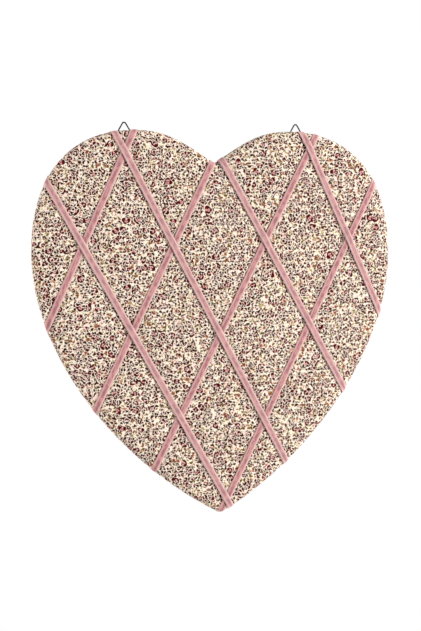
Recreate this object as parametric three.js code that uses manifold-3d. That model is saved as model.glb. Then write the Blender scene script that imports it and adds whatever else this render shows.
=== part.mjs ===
// Heart-shaped fabric memo board: a padded board covered in printed cloth, with a lattice of velvet
// ribbons that hold notes, and two wire rings at the back to hang it by.
// Frame: X to the right, the front faces -Y, Z up, millimetres. x = 0 is the mirror plane of the heart,
// y = 0 the rear face of the back panel and z = 0 half way between the lobe tops and the tip.

import * as THREE from "three";
import { mergeVertices } from "three/addons/utils/BufferGeometryUtils.js";
import Module from "manifold-3d";

const wasm = await Module();
wasm.setup();

// Driving dimensions of the board
const boardWidth = 378;
const boardHeight = 400;
const coreThickness = 5;
const waddingThickness = 6;
const waddingCrown = 1.3;
const crownReach = 36;
const coverThickness = 0.6;
const panelThickness = 1.2;
const seatGap = 0.3;

// Heart outline: a small arc in the notch, three curves down the flank and a round tip
const notchDepthShare = 0.0825;
const notchRadius = 3;
const notchAngle = THREE.MathUtils.degToRad(34.7);
const tipRadius = 12;
const tipAngle = THREE.MathUtils.degToRad(30.4);
const notchHandleShare = 0.223;
const lobeTopShare = 0.43;
const lobeInnerHandleShare = 0.153;
const lobeOuterHandleShare = 0.386;
const widestHeightShare = 0.18;
const widestUpperHandleShare = 0.187;
const widestLowerHandleShare = 0.233;
const tipHandleShare = 0.319;
const outlineSteps = { notch: 3, inner: 7, lobe: 11, flank: 12, tip: 4 };

// Cloth cover
const marginWidth = 25;
const rearCornerRadius = 1.5;
const outerSteps = { shoulder: 5, crown: 3 };
const innerSteps = { shoulder: 4, crown: 2 };
const rearCornerSteps = 2;

// Back panel
const panelInset = 8;
const panelRestInset = 45;

// Velvet ribbons: where each centre line crosses the level line, in half widths, its lean, which is how
// far it runs sideways over the height of the board, in half widths too, and the turn that lays its
// lower tail beside its neighbour on the narrow back of the tip. A ribbon that bends round the tip
// takes more steps across its width.
const ribbonWidth = 7;
const ribbonThickness = 0.8;
const ribbonTail = 20;
const latticeLevelShare = -0.0175;
const fallingShares = [-0.474, 0, 0.541, 0.989];
const fallingLeanShares = [-1.136, -1.071, -1.138, -0.953];
const fallingTailDegrees = [-30, 0, 0, 0];
const risingShares = [-0.954, -0.48, 0.02, 0.513];
const risingLeanShares = [0.995, 1.068, 1.103, 1.07];
const risingTailDegrees = [0, 0, 0, 15];
const fallingWidthSteps = [4, 2, 2, 2];
const risingWidthSteps = [2, 2, 2, 4];
const humpMargin = 0.6;
const humpRamp = 6;

// Staples of flattened wire, each wide enough to straddle a ribbon
const stapleWire = 0.7;
const stapleSideGap = 0.8;
const stapleBiteShare = 0.75;
const tailStapleShare = 0.6;
const coverStaplePitch = 45;
const coverStapleInset = 15;

// Hangers: a triangular wire ring in a folded strap, held by one screw
const hangerShare = 0.485;
const ringSide = 20.5;
const ringCorner = 2;
const ringWire = 1.5;
const ringSplit = 0.8;
const ringCornerSteps = 5;
const wireSides = 8;
const strapWidth = 9;
const strapThickness = 0.8;
const strapSlit = 0.2;
const strapLength = 20;
const strapSteps = 10;
const screwDrop = 14;
const screwRadius = 1.5;
const screwBiteShare = 0.7;
const screwPoint = 2;
const screwHeadRadius = 2.8;
const screwHeadHeight = 1.8;
const screwHeadEdge = 0.6;
const crossLength = 3;
const crossWidth = 0.7;
const crossDepth = 1;
const roundSegments = 16;

// One overrun for every cut, so that no two faces of a cut lie in one plane
const cutOverrun = 0.5;

// Levels along Y, from the back panel to the cloth on the front
const panelFrontY = -panelThickness;
const tailRearY = panelFrontY - stapleWire;
const tailFrontY = tailRearY - ribbonThickness;
const coverRearY = tailFrontY - seatGap;
const coreRearY = coverRearY - coverThickness - seatGap;
const coreFrontY = coreRearY - coreThickness;
const coverFrontY = coreFrontY - waddingThickness - seatGap - coverThickness;

// Shoulder of the padding: an arc from the core's front edge up to the slope at which the crown starts
const shoulderEdgeY = coverFrontY + waddingCrown;
const crownSlope = Math.atan2(2 * waddingCrown, crownReach);
const shoulderRadius = (coreFrontY - shoulderEdgeY) / Math.cos(crownSlope);
const shoulderSweep = Math.PI / 2 - crownSlope;
const shoulderInset = shoulderRadius * (1 - Math.sin(crownSlope));
const rearCornerY = coverRearY - rearCornerRadius;

const material = (color, roughness, metalness = 0) =>
  new THREE.MeshStandardMaterial({ color, roughness, metalness });
const fibreboard = material(0xb89468, 0.85);
const polyesterWadding = material(0xf2efe8, 1);
const printedCotton = material(0xd9bfae, 0.9);
const greyCard = material(0xa89a86, 0.9);
const velvet = material(0xc87c84, 0.95);
const steelWire = material(0x6d6a66, 0.35, 0.9);
const zincPlate = material(0xb9bab8, 0.35, 0.9);
const stapleSteel = material(0xa7a8a9, 0.4, 0.9);

// Outline

// Points and outward normals of the right half, from the notch over the lobe to the tip.
function outlineHalf() {
  const halfWidth = boardWidth / 2;
  const halfHeight = boardHeight / 2;
  const notch = new THREE.Vector2(0, halfHeight - boardHeight * notchDepthShare);
  const tip = new THREE.Vector2(0, -halfHeight);
  const along = (angle) => new THREE.Vector2(Math.cos(angle), Math.sin(angle));
  const notchEnd = new THREE.Vector2(
    notchRadius * Math.sin(notchAngle),
    notch.y + notchRadius * (1 - Math.cos(notchAngle)),
  );
  const tipStart = new THREE.Vector2(
    tipRadius * Math.sin(tipAngle),
    tip.y + tipRadius * (1 - Math.cos(tipAngle)),
  );
  const lobeTop = new THREE.Vector2(halfWidth * lobeTopShare, halfHeight);
  const widest = new THREE.Vector2(halfWidth, boardHeight * widestHeightShare);
  const quarter = Math.PI / 2;
  const curves = [
    [
      new THREE.EllipseCurve(
        0, notch.y + notchRadius, notchRadius, notchRadius, -quarter, notchAngle - quarter,
      ),
      outlineSteps.notch,
    ],
    [
      new THREE.CubicBezierCurve(
        notchEnd,
        notchEnd.clone().addScaledVector(along(notchAngle), halfWidth * notchHandleShare),
        new THREE.Vector2(lobeTop.x - halfWidth * lobeInnerHandleShare, lobeTop.y),
        lobeTop,
      ),
      outlineSteps.inner,
    ],
    [
      new THREE.CubicBezierCurve(
        lobeTop,
        new THREE.Vector2(lobeTop.x + halfWidth * lobeOuterHandleShare, lobeTop.y),
        new THREE.Vector2(widest.x, widest.y + boardHeight * widestUpperHandleShare),
        widest,
      ),
      outlineSteps.lobe,
    ],
    [
      new THREE.CubicBezierCurve(
        widest,
        new THREE.Vector2(widest.x, widest.y - boardHeight * widestLowerHandleShare),
        tipStart.clone().addScaledVector(along(tipAngle), boardHeight * tipHandleShare),
        tipStart,
      ),
      outlineSteps.flank,
    ],
    [
      new THREE.EllipseCurve(
        0, tip.y + tipRadius, tipRadius, tipRadius, tipAngle - quarter, -quarter, true,
      ),
      outlineSteps.tip,
    ],
  ];
  const half = [];
  curves.forEach(([curve, steps], index) => {
    const last = index === curves.length - 1 ? steps : steps - 1;
    for (let i = 0; i <= last; i += 1) {
      const tangent = curve.getTangent(i / steps);
      half.push({
        point: curve.getPoint(i / steps),
        normal: new THREE.Vector2(-tangent.y, tangent.x),
      });
    }
  });
  for (const [end, up] of [[half[0], 1], [half[half.length - 1], -1]]) {
    end.point.x = 0;
    end.normal.set(0, up);
  }
  return half;
}

const rightHalf = outlineHalf();

// The heart moved in by an inset, as one loop: notch, right flank, tip, left flank. Where the flanks
// would pass through each other above the tip, they end in the point where they meet.
function heartLoop(inset) {
  const right = rightHalf.map(({ point, normal }) => point.clone().addScaledVector(normal, -inset));
  const crossed = right.findIndex((p, i) => i > 0 && p.x <= 0);
  const before = right[crossed - 1];
  const meeting = before.clone().lerp(right[crossed], before.x / (before.x - right[crossed].x));
  meeting.x = 0;
  for (let i = crossed; i < right.length; i += 1) right[i].copy(meeting);
  const left = right.slice(1, -1).reverse().map((p) => new THREE.Vector2(-p.x, p.y));
  return [...right, ...left];
}

const outline = heartLoop(0);
const perimeter = outline.map((p, i) => p.distanceTo(outline[(i + 1) % outline.length]));
const outlineLength = perimeter.reduce((sum, length) => sum + length, 0);
const outlineNormals = [
  ...rightHalf.map(({ normal }) => normal),
  ...rightHalf.slice(1, -1).reverse().map(({ normal }) => new THREE.Vector2(-normal.x, normal.y)),
];

// The nearest place on the outline: its distance, its run along the outline, and whether the point is
// inside, as a signed inset.
function nearestOnOutline(p) {
  let best = { distance: Infinity, run: 0 };
  let run = 0;
  let inside = false;
  outline.forEach((a, i) => {
    const b = outline[(i + 1) % outline.length];
    const edge = b.clone().sub(a);
    const t = THREE.MathUtils.clamp(p.clone().sub(a).dot(edge) / edge.lengthSq(), 0, 1);
    const distance = a.clone().addScaledVector(edge, t).distanceTo(p);
    if (distance < best.distance) best = { distance, run: run + t * perimeter[i] };
    if (a.y > p.y !== b.y > p.y && p.x < a.x + (edge.x * (p.y - a.y)) / edge.y) inside = !inside;
    run += perimeter[i];
  });
  return { inset: inside ? best.distance : -best.distance, run: best.run };
}

const insetAt = (p) => nearestOnOutline(p).inset;

// Point and outward normal at a run along the outline.
function outlineAt(run) {
  let left = ((run % outlineLength) + outlineLength) % outlineLength;
  let i = 0;
  while (left > perimeter[i] && i < perimeter.length - 1) {
    left -= perimeter[i];
    i += 1;
  }
  const next = (i + 1) % outline.length;
  const t = left / perimeter[i];
  return {
    point: outline[i].clone().lerp(outline[next], t),
    normal: outlineNormals[i].clone().lerp(outlineNormals[next], t).normalize(),
  };
}

// Height of the outline's upper edge at a place across the board.
function topAt(x) {
  const i = outline.findIndex((p, k) => p.y > 0 && p.x <= x && outline[k + 1].x > x);
  const [a, b] = [outline[i], outline[i + 1]];
  return a.y + ((b.y - a.y) * (x - a.x)) / (b.x - a.x);
}

// Solids

// A geometry whose shared corners are merged, without flat triangles, facing outwards.
function closedGeometry(positions, triangles) {
  const loose = new THREE.BufferGeometry();
  loose.setAttribute("position", new THREE.Float32BufferAttribute(positions, 3));
  loose.setIndex(triangles);
  const merged = mergeVertices(loose, seatGap / 1000);
  const place = merged.getAttribute("position");
  const corner = (i) => new THREE.Vector3().fromBufferAttribute(place, i);
  const kept = [];
  let volume = 0;
  for (let i = 0; i < merged.index.count; i += 3) {
    const [a, b, c] = [0, 1, 2].map((k) => merged.index.getX(i + k));
    if (a !== b && b !== c && c !== a) {
      kept.push(a, b, c);
      volume += corner(a).dot(corner(b).cross(corner(c)));
    }
  }
  merged.setIndex(volume > 0 ? kept : kept.reverse());
  return merged;
}

const toSolid = (geometry) => {
  const bare = geometry.clone();
  bare.deleteAttribute("normal");
  bare.deleteAttribute("uv");
  const merged = mergeVertices(bare, seatGap / 1000);
  return new wasm.Manifold(new wasm.Mesh({
    numProp: 3,
    vertProperties: new Float32Array(merged.getAttribute("position").array),
    triVerts: new Uint32Array(merged.index.array),
  }));
};

function fromSolid(solid) {
  const mesh = solid.getMesh();
  return closedGeometry(Array.from(mesh.vertProperties), Array.from(mesh.triVerts));
}

// Cuts a geometry by a list of others.
function cut(geometry, tools) {
  const solid = tools.reduce((rest, tool) => rest.subtract(toSolid(tool)), toSolid(geometry));
  return fromSolid(solid);
}

// Triangles of a flat loop whose corners start at index first, all turned the same way.
function capTriangles(loop, first, clockwise) {
  const corners = [];
  loop.forEach((p, i) => {
    if (i === 0 || !p.equals(loop[i - 1])) corners.push(i);
  });
  const flat = corners.map((i) => loop[i]);
  return THREE.ShapeUtils.triangulateShape(flat, []).flatMap(([a, b, c]) => {
    const area = THREE.ShapeUtils.area([flat[a], flat[b], flat[c]]);
    const face = area < 0 === clockwise ? [a, b, c] : [a, c, b];
    return face.map((k) => first + corners[k]);
  });
}

// A solid of heart loops, one for each [inset, y] of the profile, closed by a flat cap at both ends.
function heartLoft(profile) {
  const loops = profile.map(([inset]) => heartLoop(inset));
  const count = outline.length;
  const positions = loops.flatMap((loop, k) => loop.flatMap((p) => [p.x, profile[k][1], p.y]));
  const triangles = [];
  for (let k = 0; k < loops.length - 1; k += 1) {
    for (let i = 0; i < count; i += 1) {
      const [a, b] = [k * count + i, k * count + ((i + 1) % count)];
      triangles.push(a, b, b + count, a, b + count, a + count);
    }
  }
  triangles.push(...capTriangles(loops[0], 0, false));
  triangles.push(...capTriangles(loops[loops.length - 1], (loops.length - 1) * count, true));
  return closedGeometry(positions, triangles);
}

// Padded surface

// Level of the cloth's outer face at an inset past the shoulder: a crown that ends level.
function crownY(inset) {
  const left = 1 - Math.min((inset - shoulderInset) / (crownReach - shoulderInset), 1);
  return coverFrontY + waddingCrown * left * left;
}

// A station on the shoulder at an angle from the wall, raised by an offset from the cloth's face.
const onShoulder = (angle, offset) => [
  shoulderRadius - (shoulderRadius + offset) * Math.cos(angle),
  coreFrontY - (shoulderRadius + offset) * Math.sin(angle),
];

// A station on the rear corner at an angle from the wall.
const onRearCorner = (angle, offset) => [
  rearCornerRadius - (rearCornerRadius + offset) * Math.cos(angle),
  rearCornerY + (rearCornerRadius + offset) * Math.sin(angle),
];

// The face of the padding from the level front out to the end of the shoulder, as [inset, y].
function paddedLine(offset, steps) {
  const line = [];
  const [start] = onShoulder(shoulderSweep, offset);
  for (let i = steps.crown; i > 0; i -= 1) {
    const inset = start + ((crownReach - start) * i) / steps.crown;
    line.push([inset, crownY(inset) - offset]);
  }
  for (let i = steps.shoulder; i >= 0; i -= 1) {
    line.push(onShoulder((shoulderSweep * i) / steps.shoulder, offset));
  }
  return line;
}

// The whole face of the cloth, from the level front round the edge to the end of the rear margin.
function coverLine(offset, steps) {
  const line = paddedLine(offset, steps);
  for (let i = 0; i <= rearCornerSteps; i += 1) {
    line.push(onRearCorner(((Math.PI / 2) * i) / rearCornerSteps, offset));
  }
  line.push([marginWidth, coverRearY + offset]);
  return line;
}

// Ribbons

const latticeLevel = boardHeight * latticeLevelShare;
const humpLift = ribbonThickness + seatGap;

// Centre line of a ribbon, from its place across the board and its lean.
function ribbonLine(share, leanShare, tailDegrees) {
  const halfWidth = boardWidth / 2;
  const along = new THREE.Vector2(leanShare * halfWidth, boardHeight).normalize();
  return {
    tailTurns: [THREE.MathUtils.degToRad(tailDegrees), 0],
    origin: new THREE.Vector2(share * halfWidth, latticeLevel),
    along,
    across: new THREE.Vector2(along.y, -along.x),
  };
}

const fallingLines = fallingShares
  .map((share, i) => ribbonLine(share, fallingLeanShares[i], fallingTailDegrees[i]));
const risingLines = risingShares
  .map((share, i) => ribbonLine(share, risingLeanShares[i], risingTailDegrees[i]));

const pointOn = (line, length) => line.origin.clone().addScaledVector(line.along, length);

// A line beside another one, moved across it.
const besideLine = (line, shift) => ({
  ...line,
  origin: line.origin.clone().addScaledVector(line.across, shift),
});

// Length along a line at which it meets another line.
function meetingOf(line, other) {
  const offset = other.origin.clone().sub(line.origin);
  return offset.cross(other.along) / line.along.cross(other.along);
}

// The lowest and highest lengths at which a line crosses the outline.
function endsOf(line) {
  const lengths = outline.flatMap((a, i) => {
    const edge = outline[(i + 1) % outline.length].clone().sub(a);
    const offset = a.clone().sub(line.origin);
    const turn = line.along.cross(edge);
    const t = offset.cross(line.along) / turn;
    return t >= 0 && t < 1 ? [offset.cross(edge) / turn] : [];
  });
  return [Math.min(...lengths), Math.max(...lengths)];
}

// Length along a line, near one of its ends, at which it has a given inset. Inward is 1 or -1.
function lengthAtInset(line, end, inward, inset) {
  const step = ribbonWidth / 4;
  const direction = inset >= 0 ? inward : -inward;
  const reached = (length) => (insetAt(pointOn(line, length)) - inset) * Math.sign(direction * inward);
  let near = end;
  let far = end + direction * step;
  while (reached(far) < 0 && Math.abs(far - end) < boardHeight) {
    near = far;
    far += direction * step;
  }
  for (let i = 0; i < 30; i += 1) {
    const middle = (near + far) / 2;
    if (reached(middle) < 0) near = middle;
    else far = middle;
  }
  return far;
}

// How far a ribbon is raised at a length along its line, to pass over the ones that it crosses.
function liftAt(length, crossings) {
  const rises = crossings.map(({ at, flat }) => 1 - (Math.abs(length - at) - flat) / humpRamp);
  return humpLift * THREE.MathUtils.clamp(Math.max(0, ...rises), 0, 1);
}

// Where a width line of a ribbon passes over others: the length, and the level stretch on each side.
function crossingsOf(line, others) {
  return others
    .map((other) => ({
      at: meetingOf(line, other),
      flat: ribbonWidth / 2 / Math.abs(line.along.cross(other.along)) + humpMargin,
    }))
    .filter(({ at }) => insetAt(pointOn(line, at)) > 0);
}

// The wrap of one ribbon end: how it leaves the front, and the way its tail turns back.
function wrapOf(line, end, inward, turn) {
  const { run } = nearestOnOutline(pointOn(line, end));
  const { normal } = outlineAt(run);
  const leaving = line.along.clone().multiplyScalar(-inward);
  const ahead = new THREE.Vector2(normal.y, -normal.x);
  return {
    drift: leaving.dot(ahead) / leaving.dot(normal),
    tail: leaving.clone()
      .addScaledVector(normal, -2 * leaving.dot(normal))
      .rotateAround(new THREE.Vector2(), turn),
  };
}

// Sections of one ribbon end on one width line, from the rear corner to the end of the shoulder. Each
// section is an inner and an outer point.
function endSections(line, end, inward, wrap, crossings) {
  const offsets = [seatGap, seatGap + ribbonThickness];
  const { run } = nearestOnOutline(pointOn(line, end));
  const wallHeight = rearCornerY - coreFrontY;
  const onEdge = ([inset, y], travel) => {
    const { point, normal } = outlineAt(run + wrap.drift * travel);
    return point.addScaledVector(normal, -inset).toArray().toSpliced(1, 0, y);
  };
  const sections = [];
  for (let i = rearCornerSteps; i >= 0; i -= 1) {
    const angle = ((Math.PI / 2) * i) / rearCornerSteps;
    const travel = wallHeight + rearCornerRadius * angle;
    sections.push(offsets.map((offset) => onEdge(onRearCorner(angle, offset), travel)));
  }
  sections.push(offsets.map((offset) => onEdge(onShoulder(0, offset), 0)));
  for (let i = 1; i <= outerSteps.shoulder; i += 1) {
    const angle = (shoulderSweep * i) / outerSteps.shoulder;
    sections.push(offsets.map((offset) => {
      const flush = lengthAtInset(line, end, inward, onShoulder(angle, offset)[0]);
      const [inset, y] = onShoulder(angle, offset + liftAt(flush, crossings));
      const place = pointOn(line, lengthAtInset(line, end, inward, inset));
      return [place.x, y, place.y];
    }));
  }
  return sections;
}

// Sections of one ribbon on the front, at the crown's stations and at the ends of each hump and ramp.
function frontSections(line, ends, crossings) {
  const start = onShoulder(shoulderSweep, seatGap)[0];
  const least = ribbonThickness / 2;
  const shoulders = ends.map((end, side) => lengthAtInset(line, end, side ? -1 : 1, start));
  const lengths = [];
  for (let i = 1; i <= outerSteps.crown; i += 1) {
    const inset = start + ((crownReach - start) * i) / outerSteps.crown;
    ends.forEach((end, side) => lengths.push(lengthAtInset(line, end, side ? -1 : 1, inset)));
  }
  crossings.forEach(({ at, flat }) => {
    lengths.push(at - flat - humpRamp, at - flat, at + flat, at + flat + humpRamp);
  });
  const kept = lengths
    .map((length) => THREE.MathUtils.clamp(length, shoulders[0] + least, shoulders[1] - least))
    .sort((a, b) => a - b);
  return kept.map((length) => {
    const place = pointOn(line, length);
    const level = crownY(insetAt(place)) - seatGap - liftAt(length, crossings);
    return [level, level - ribbonThickness].map((y) => [place.x, y, place.y]);
  });
}

// The square-cut ends of a tail, one for each width line, from the ribbon's sections at the rear corner.
function tailEnds(corners, way) {
  const steps = corners.length - 1;
  const middle = corners[steps / 2];
  const [first, last] = [corners[0][0], corners[steps][0]];
  const across = new THREE.Vector2(way.y, -way.x);
  if (across.x * (last[0] - first[0]) + across.y * (last[2] - first[2]) < 0) across.negate();
  return corners.map((_, i) => {
    const shift = ribbonWidth * (i / steps - 1 / 2);
    return middle.map(([x, y, z]) => [
      x + way.x * ribbonTail + across.x * shift,
      y,
      z + way.y * ribbonTail + across.y * shift,
    ]);
  });
}

// One ribbon: its width lines, each with its sections from tail to tail.
function ribbon(centre, others, widthSteps) {
  const lines = Array.from({ length: widthSteps + 1 }, (_, i) => (
    besideLine(centre, ribbonWidth * (i / widthSteps - 1 / 2))
  ));
  const wraps = endsOf(centre)
    .map((end, side) => wrapOf(centre, end, side ? -1 : 1, centre.tailTurns[side]));
  const threads = lines.map((line) => {
    const ends = endsOf(line);
    const crossings = crossingsOf(line, others);
    return [
      ...endSections(line, ends[0], 1, wraps[0], crossings),
      ...frontSections(line, ends, crossings),
      ...endSections(line, ends[1], -1, wraps[1], crossings).reverse(),
    ];
  });
  const tails = wraps.map(({ tail }, side) => {
    const ends = tailEnds(threads.map((thread) => thread.at(-side)), tail);
    threads.forEach((thread, i) => (side ? thread.push(ends[i]) : thread.unshift(ends[i])));
    const [[x, , z]] = ends[widthSteps / 2];
    const back = ribbonTail * (1 - tailStapleShare);
    return { x: x - tail.x * back, z: z - tail.y * back, way: tail };
  });
  const stations = threads[0].length;
  const inner = threads.map((_, i) => [i, 0]);
  const around = [...inner, ...inner.toReversed().map(([i]) => [i, 1])];
  const positions = [];
  for (let k = 0; k < stations; k += 1) {
    around.forEach(([thread, face]) => positions.push(...threads[thread][k][face]));
  }
  const triangles = [];
  for (let k = 0; k < stations - 1; k += 1) {
    around.forEach((_, i) => {
      const a = k * around.length + i;
      const b = k * around.length + ((i + 1) % around.length);
      const up = around.length;
      triangles.push(a, b, b + up, a, b + up, a + up);
    });
  }
  const lastInner = around.length - 1;
  const capCorners = Array.from({ length: widthSteps }, (_, i) => (
    [i, i + 1, lastInner - i - 1, i, lastInner - i - 1, lastInner - i]
  )).flat();
  const last = (stations - 1) * around.length;
  triangles.push(...capCorners.toReversed());
  triangles.push(...capCorners.map((i) => last + i));
  return { geometry: closedGeometry(positions, triangles), tails };
}

// Staples

const stapleCrown = ribbonWidth + 2 * (stapleSideGap + stapleWire);
const stapleLeg = coverThickness + seatGap + stapleBiteShare * coreThickness;

// A staple set at a place on the back. The way it holds is square to its crown, and its crown's
// underside lies at a level.
function staple({ x, z, way }, level) {
  const half = stapleCrown / 2;
  const bend = stapleWire / 2;
  const shape = new THREE.Shape([
    new THREE.Vector2(-half, -stapleLeg),
    new THREE.Vector2(-half + stapleWire, -stapleLeg),
    new THREE.Vector2(-half + stapleWire, 0),
    new THREE.Vector2(half - stapleWire, 0),
    new THREE.Vector2(half - stapleWire, -stapleLeg),
    new THREE.Vector2(half, -stapleLeg),
    new THREE.Vector2(half, bend),
    new THREE.Vector2(half - bend, stapleWire),
    new THREE.Vector2(-half + bend, stapleWire),
    new THREE.Vector2(-half, bend),
  ]);
  const geometry = new THREE.ExtrudeGeometry(shape, { depth: stapleWire, bevelEnabled: false });
  geometry.translate(0, 0, -stapleWire / 2);
  geometry.applyMatrix4(stapleFrame(way));
  return { geometry, position: [x, level, z] };
}

// Turns a staple's own frame, crown along X and crown side up, to lie on the back.
const stapleFrame = (way) => new THREE.Matrix4().makeBasis(
  new THREE.Vector3(way.y, 0, -way.x),
  new THREE.Vector3(0, 1, 0),
  new THREE.Vector3(way.x, 0, way.y),
);

// The two clearance holes of a staple, through the cloth and down into the core.
function stapleHoles({ x, z, way }, level) {
  const side = stapleWire + 2 * seatGap;
  const top = coverRearY + cutOverrun;
  const depth = top - (level - stapleLeg - seatGap);
  return [-1, 1].map((leg) => {
    const hole = new THREE.BoxGeometry(side, depth, side);
    hole.translate((leg * (stapleCrown - stapleWire)) / 2, -depth / 2, 0);
    hole.applyMatrix4(stapleFrame(way));
    return hole.translate(x, top, z);
  });
}

// Hangers

const boreRadius = ringWire / 2 + seatGap;
const loopRadius = boreRadius + strapThickness;
const barY = strapThickness + strapSlit / 2;
const loopNeck = Math.sqrt(loopRadius ** 2 - barY ** 2);
const barHeight = (x) => topAt(x) - panelInset + loopNeck + seatGap;

// The wire of a ring: round sections along a path in the XZ plane, closed at both ends.
function wire(stations) {
  const across = new THREE.Vector3(0, 1, 0);
  const positions = stations.flatMap(({ point, tangent }) => {
    const side = tangent.clone().cross(across);
    return Array.from({ length: wireSides }, (_, i) => {
      const angle = ((i + 1 / 2) * 2 * Math.PI) / wireSides;
      return point.clone()
        .addScaledVector(side, (ringWire / 2) * Math.cos(angle))
        .addScaledVector(across, (ringWire / 2) * Math.sin(angle))
        .toArray();
    }).flat();
  });
  const triangles = [];
  for (let k = 0; k < stations.length - 1; k += 1) {
    for (let i = 0; i < wireSides; i += 1) {
      const [a, b] = [k * wireSides + i, k * wireSides + ((i + 1) % wireSides)];
      triangles.push(a, b, b + wireSides, a, b + wireSides, a + wireSides);
    }
  }
  const last = (stations.length - 1) * wireSides;
  for (let i = 1; i < wireSides - 1; i += 1) {
    triangles.push(0, i + 1, i, last, last + i, last + i + 1);
  }
  return closedGeometry(positions, triangles);
}

// A triangular ring standing on its bar. The wire's two ends meet in the bar, inside the strap.
function ring() {
  const turn = (2 * Math.PI) / 3;
  const reach = ringSide / 2 - ringCorner * Math.tan(turn / 2);
  const stations = [];
  const corners = [
    new THREE.Vector2(reach, ringCorner),
    new THREE.Vector2(0, ringSide * Math.sin(turn) - 2 * ringCorner),
    new THREE.Vector2(-reach, ringCorner),
  ];
  const add = (x, z, angle) => stations.push({
    point: new THREE.Vector3(x, 0, z),
    tangent: new THREE.Vector3(Math.cos(angle), 0, Math.sin(angle)),
  });
  add(ringSplit / 2, 0, 0);
  corners.forEach((centre, corner) => {
    for (let i = 0; i <= ringCornerSteps; i += 1) {
      const angle = turn * (corner + i / ringCornerSteps);
      add(centre.x + ringCorner * Math.sin(angle), centre.y - ringCorner * Math.cos(angle), angle);
    }
  });
  add(-ringSplit / 2, 0, 0);
  return wire(stations);
}

// The strap: a strip folded round the bar, with its two leaves against the panel, rounded at the end
// and pierced for the screw.
function strap() {
  const half = strapSlit / 2;
  const boreNeck = Math.sqrt(boreRadius ** 2 - half ** 2);
  const neckAngle = Math.atan2(-loopNeck, -barY);
  const boreAngle = Math.atan2(-boreNeck, -half);
  const shape = new THREE.Shape();
  shape.moveTo(0, -strapLength);
  shape.lineTo(0, -loopNeck);
  shape.absarc(barY, 0, loopRadius, neckAngle, -Math.PI - neckAngle, true);
  shape.lineTo(2 * barY, -strapLength);
  shape.lineTo(2 * barY - strapThickness, -strapLength);
  shape.lineTo(2 * barY - strapThickness, -boreNeck);
  shape.absarc(barY, 0, boreRadius, -Math.PI - boreAngle, boreAngle, false);
  shape.lineTo(strapThickness, -strapLength);
  const strip = new THREE.ExtrudeGeometry(shape, {
    depth: strapWidth,
    bevelEnabled: false,
    curveSegments: strapSteps,
  });
  strip.translate(0, 0, -strapWidth / 2);
  strip.applyMatrix4(new THREE.Matrix4().makeBasis(
    new THREE.Vector3(0, 1, 0),
    new THREE.Vector3(0, 0, 1),
    new THREE.Vector3(1, 0, 0),
  ));
  const plan = new THREE.Shape();
  const width = strapWidth / 2;
  plan.moveTo(width, loopRadius + cutOverrun);
  plan.lineTo(-width, loopRadius + cutOverrun);
  plan.lineTo(-width, width - strapLength);
  plan.absarc(0, width - strapLength, width, Math.PI, 2 * Math.PI, false);
  const depth = 4 * loopRadius;
  const trim = new THREE.ExtrudeGeometry(plan, {
    depth,
    bevelEnabled: false,
    curveSegments: strapSteps,
  });
  trim.translate(0, 0, -depth / 2);
  trim.rotateX(Math.PI / 2);
  const rounded = toSolid(strip).intersect(toSolid(trim));
  return cut(fromSolid(rounded), [screwHole(0, barY, -screwDrop, depth)]);
}

// A clearance hole for a screw, along Y and centred on a place.
function screwHole(x, y, z, depth) {
  const radius = screwRadius + seatGap;
  return new THREE.CylinderGeometry(radius, radius, depth, roundSegments).translate(x, y, z);
}

// A pan-head screw with a cross recess. Its seat is at y = 0 and its point towards -Y.
function screw(length) {
  const profile = [
    [0, -length],
    [screwRadius / 4, -length],
    [screwRadius, screwPoint - length],
    [screwRadius, 0],
    [screwHeadRadius, 0],
    [screwHeadRadius, screwHeadEdge],
    [screwHeadRadius * Math.cos(Math.PI / 6), screwHeadHeight - screwHeadEdge / 2],
    [screwHeadRadius / 2, screwHeadHeight],
    [0, screwHeadHeight],
  ].map(([x, y]) => new THREE.Vector2(x, y));
  const turned = new THREE.LatheGeometry(profile, roundSegments);
  const recess = [[crossLength, crossWidth], [crossWidth, crossLength]].map(([x, z]) => {
    const arm = new THREE.BoxGeometry(x, crossDepth + cutOverrun, z);
    return arm.translate(0, screwHeadHeight + (cutOverrun - crossDepth) / 2, 0);
  });
  const body = closedGeometry(
    Array.from(turned.getAttribute("position").array),
    Array.from(turned.index.array),
  );
  return cut(body, recess);
}

// Assembly

const board = new THREE.Group();

function place(name, geometry, finish, position = [0, 0, 0]) {
  const mesh = new THREE.Mesh(geometry, finish);
  mesh.name = name;
  mesh.position.set(...position);
  board.add(mesh);
}

const twoDigits = (number) => String(number).padStart(2, "0");

// Ribbons, the falling ones over the rising ones
const tails = [];
risingLines.forEach((line, i) => {
  const made = ribbon(line, [], risingWidthSteps[i]);
  place(`ribbon_rise_${i + 1}`, made.geometry, velvet);
  tails.push(...made.tails);
});
fallingLines.forEach((line, i) => {
  const made = ribbon(line, risingLines, fallingWidthSteps[i]);
  place(`ribbon_fall_${i + 1}`, made.geometry, velvet);
  tails.push(...made.tails);
});

// Cover staples share out the outline between the ribbon tails
const tailRuns = tails
  .map(({ x, z }) => nearestOnOutline(new THREE.Vector2(x, z)).run)
  .sort((a, b) => a - b);
const coverStaples = tailRuns.flatMap((run, i) => {
  const next = i + 1 < tailRuns.length ? tailRuns[i + 1] : tailRuns[0] + outlineLength;
  const count = Math.floor((next - run) / coverStaplePitch);
  return Array.from({ length: count }, (_, k) => {
    const { point, normal } = outlineAt(run + ((next - run) * (k + 1)) / (count + 1));
    const { x, y } = point.addScaledVector(normal, -coverStapleInset);
    return { x, z: y, way: normal };
  });
});
const stapleSets = [
  { name: "ribbon_staple", places: tails, level: tailRearY },
  { name: "cover_staple", places: coverStaples, level: coverRearY },
];
const holes = stapleSets.flatMap(({ places, level }) => places.flatMap((p) => stapleHoles(p, level)));
stapleSets.forEach(({ name, places, level }) => {
  places.forEach((p, i) => {
    const { geometry, position } = staple(p, level);
    place(`${name}_${twoDigits(i + 1)}`, geometry, stapleSteel, position);
  });
});

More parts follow.
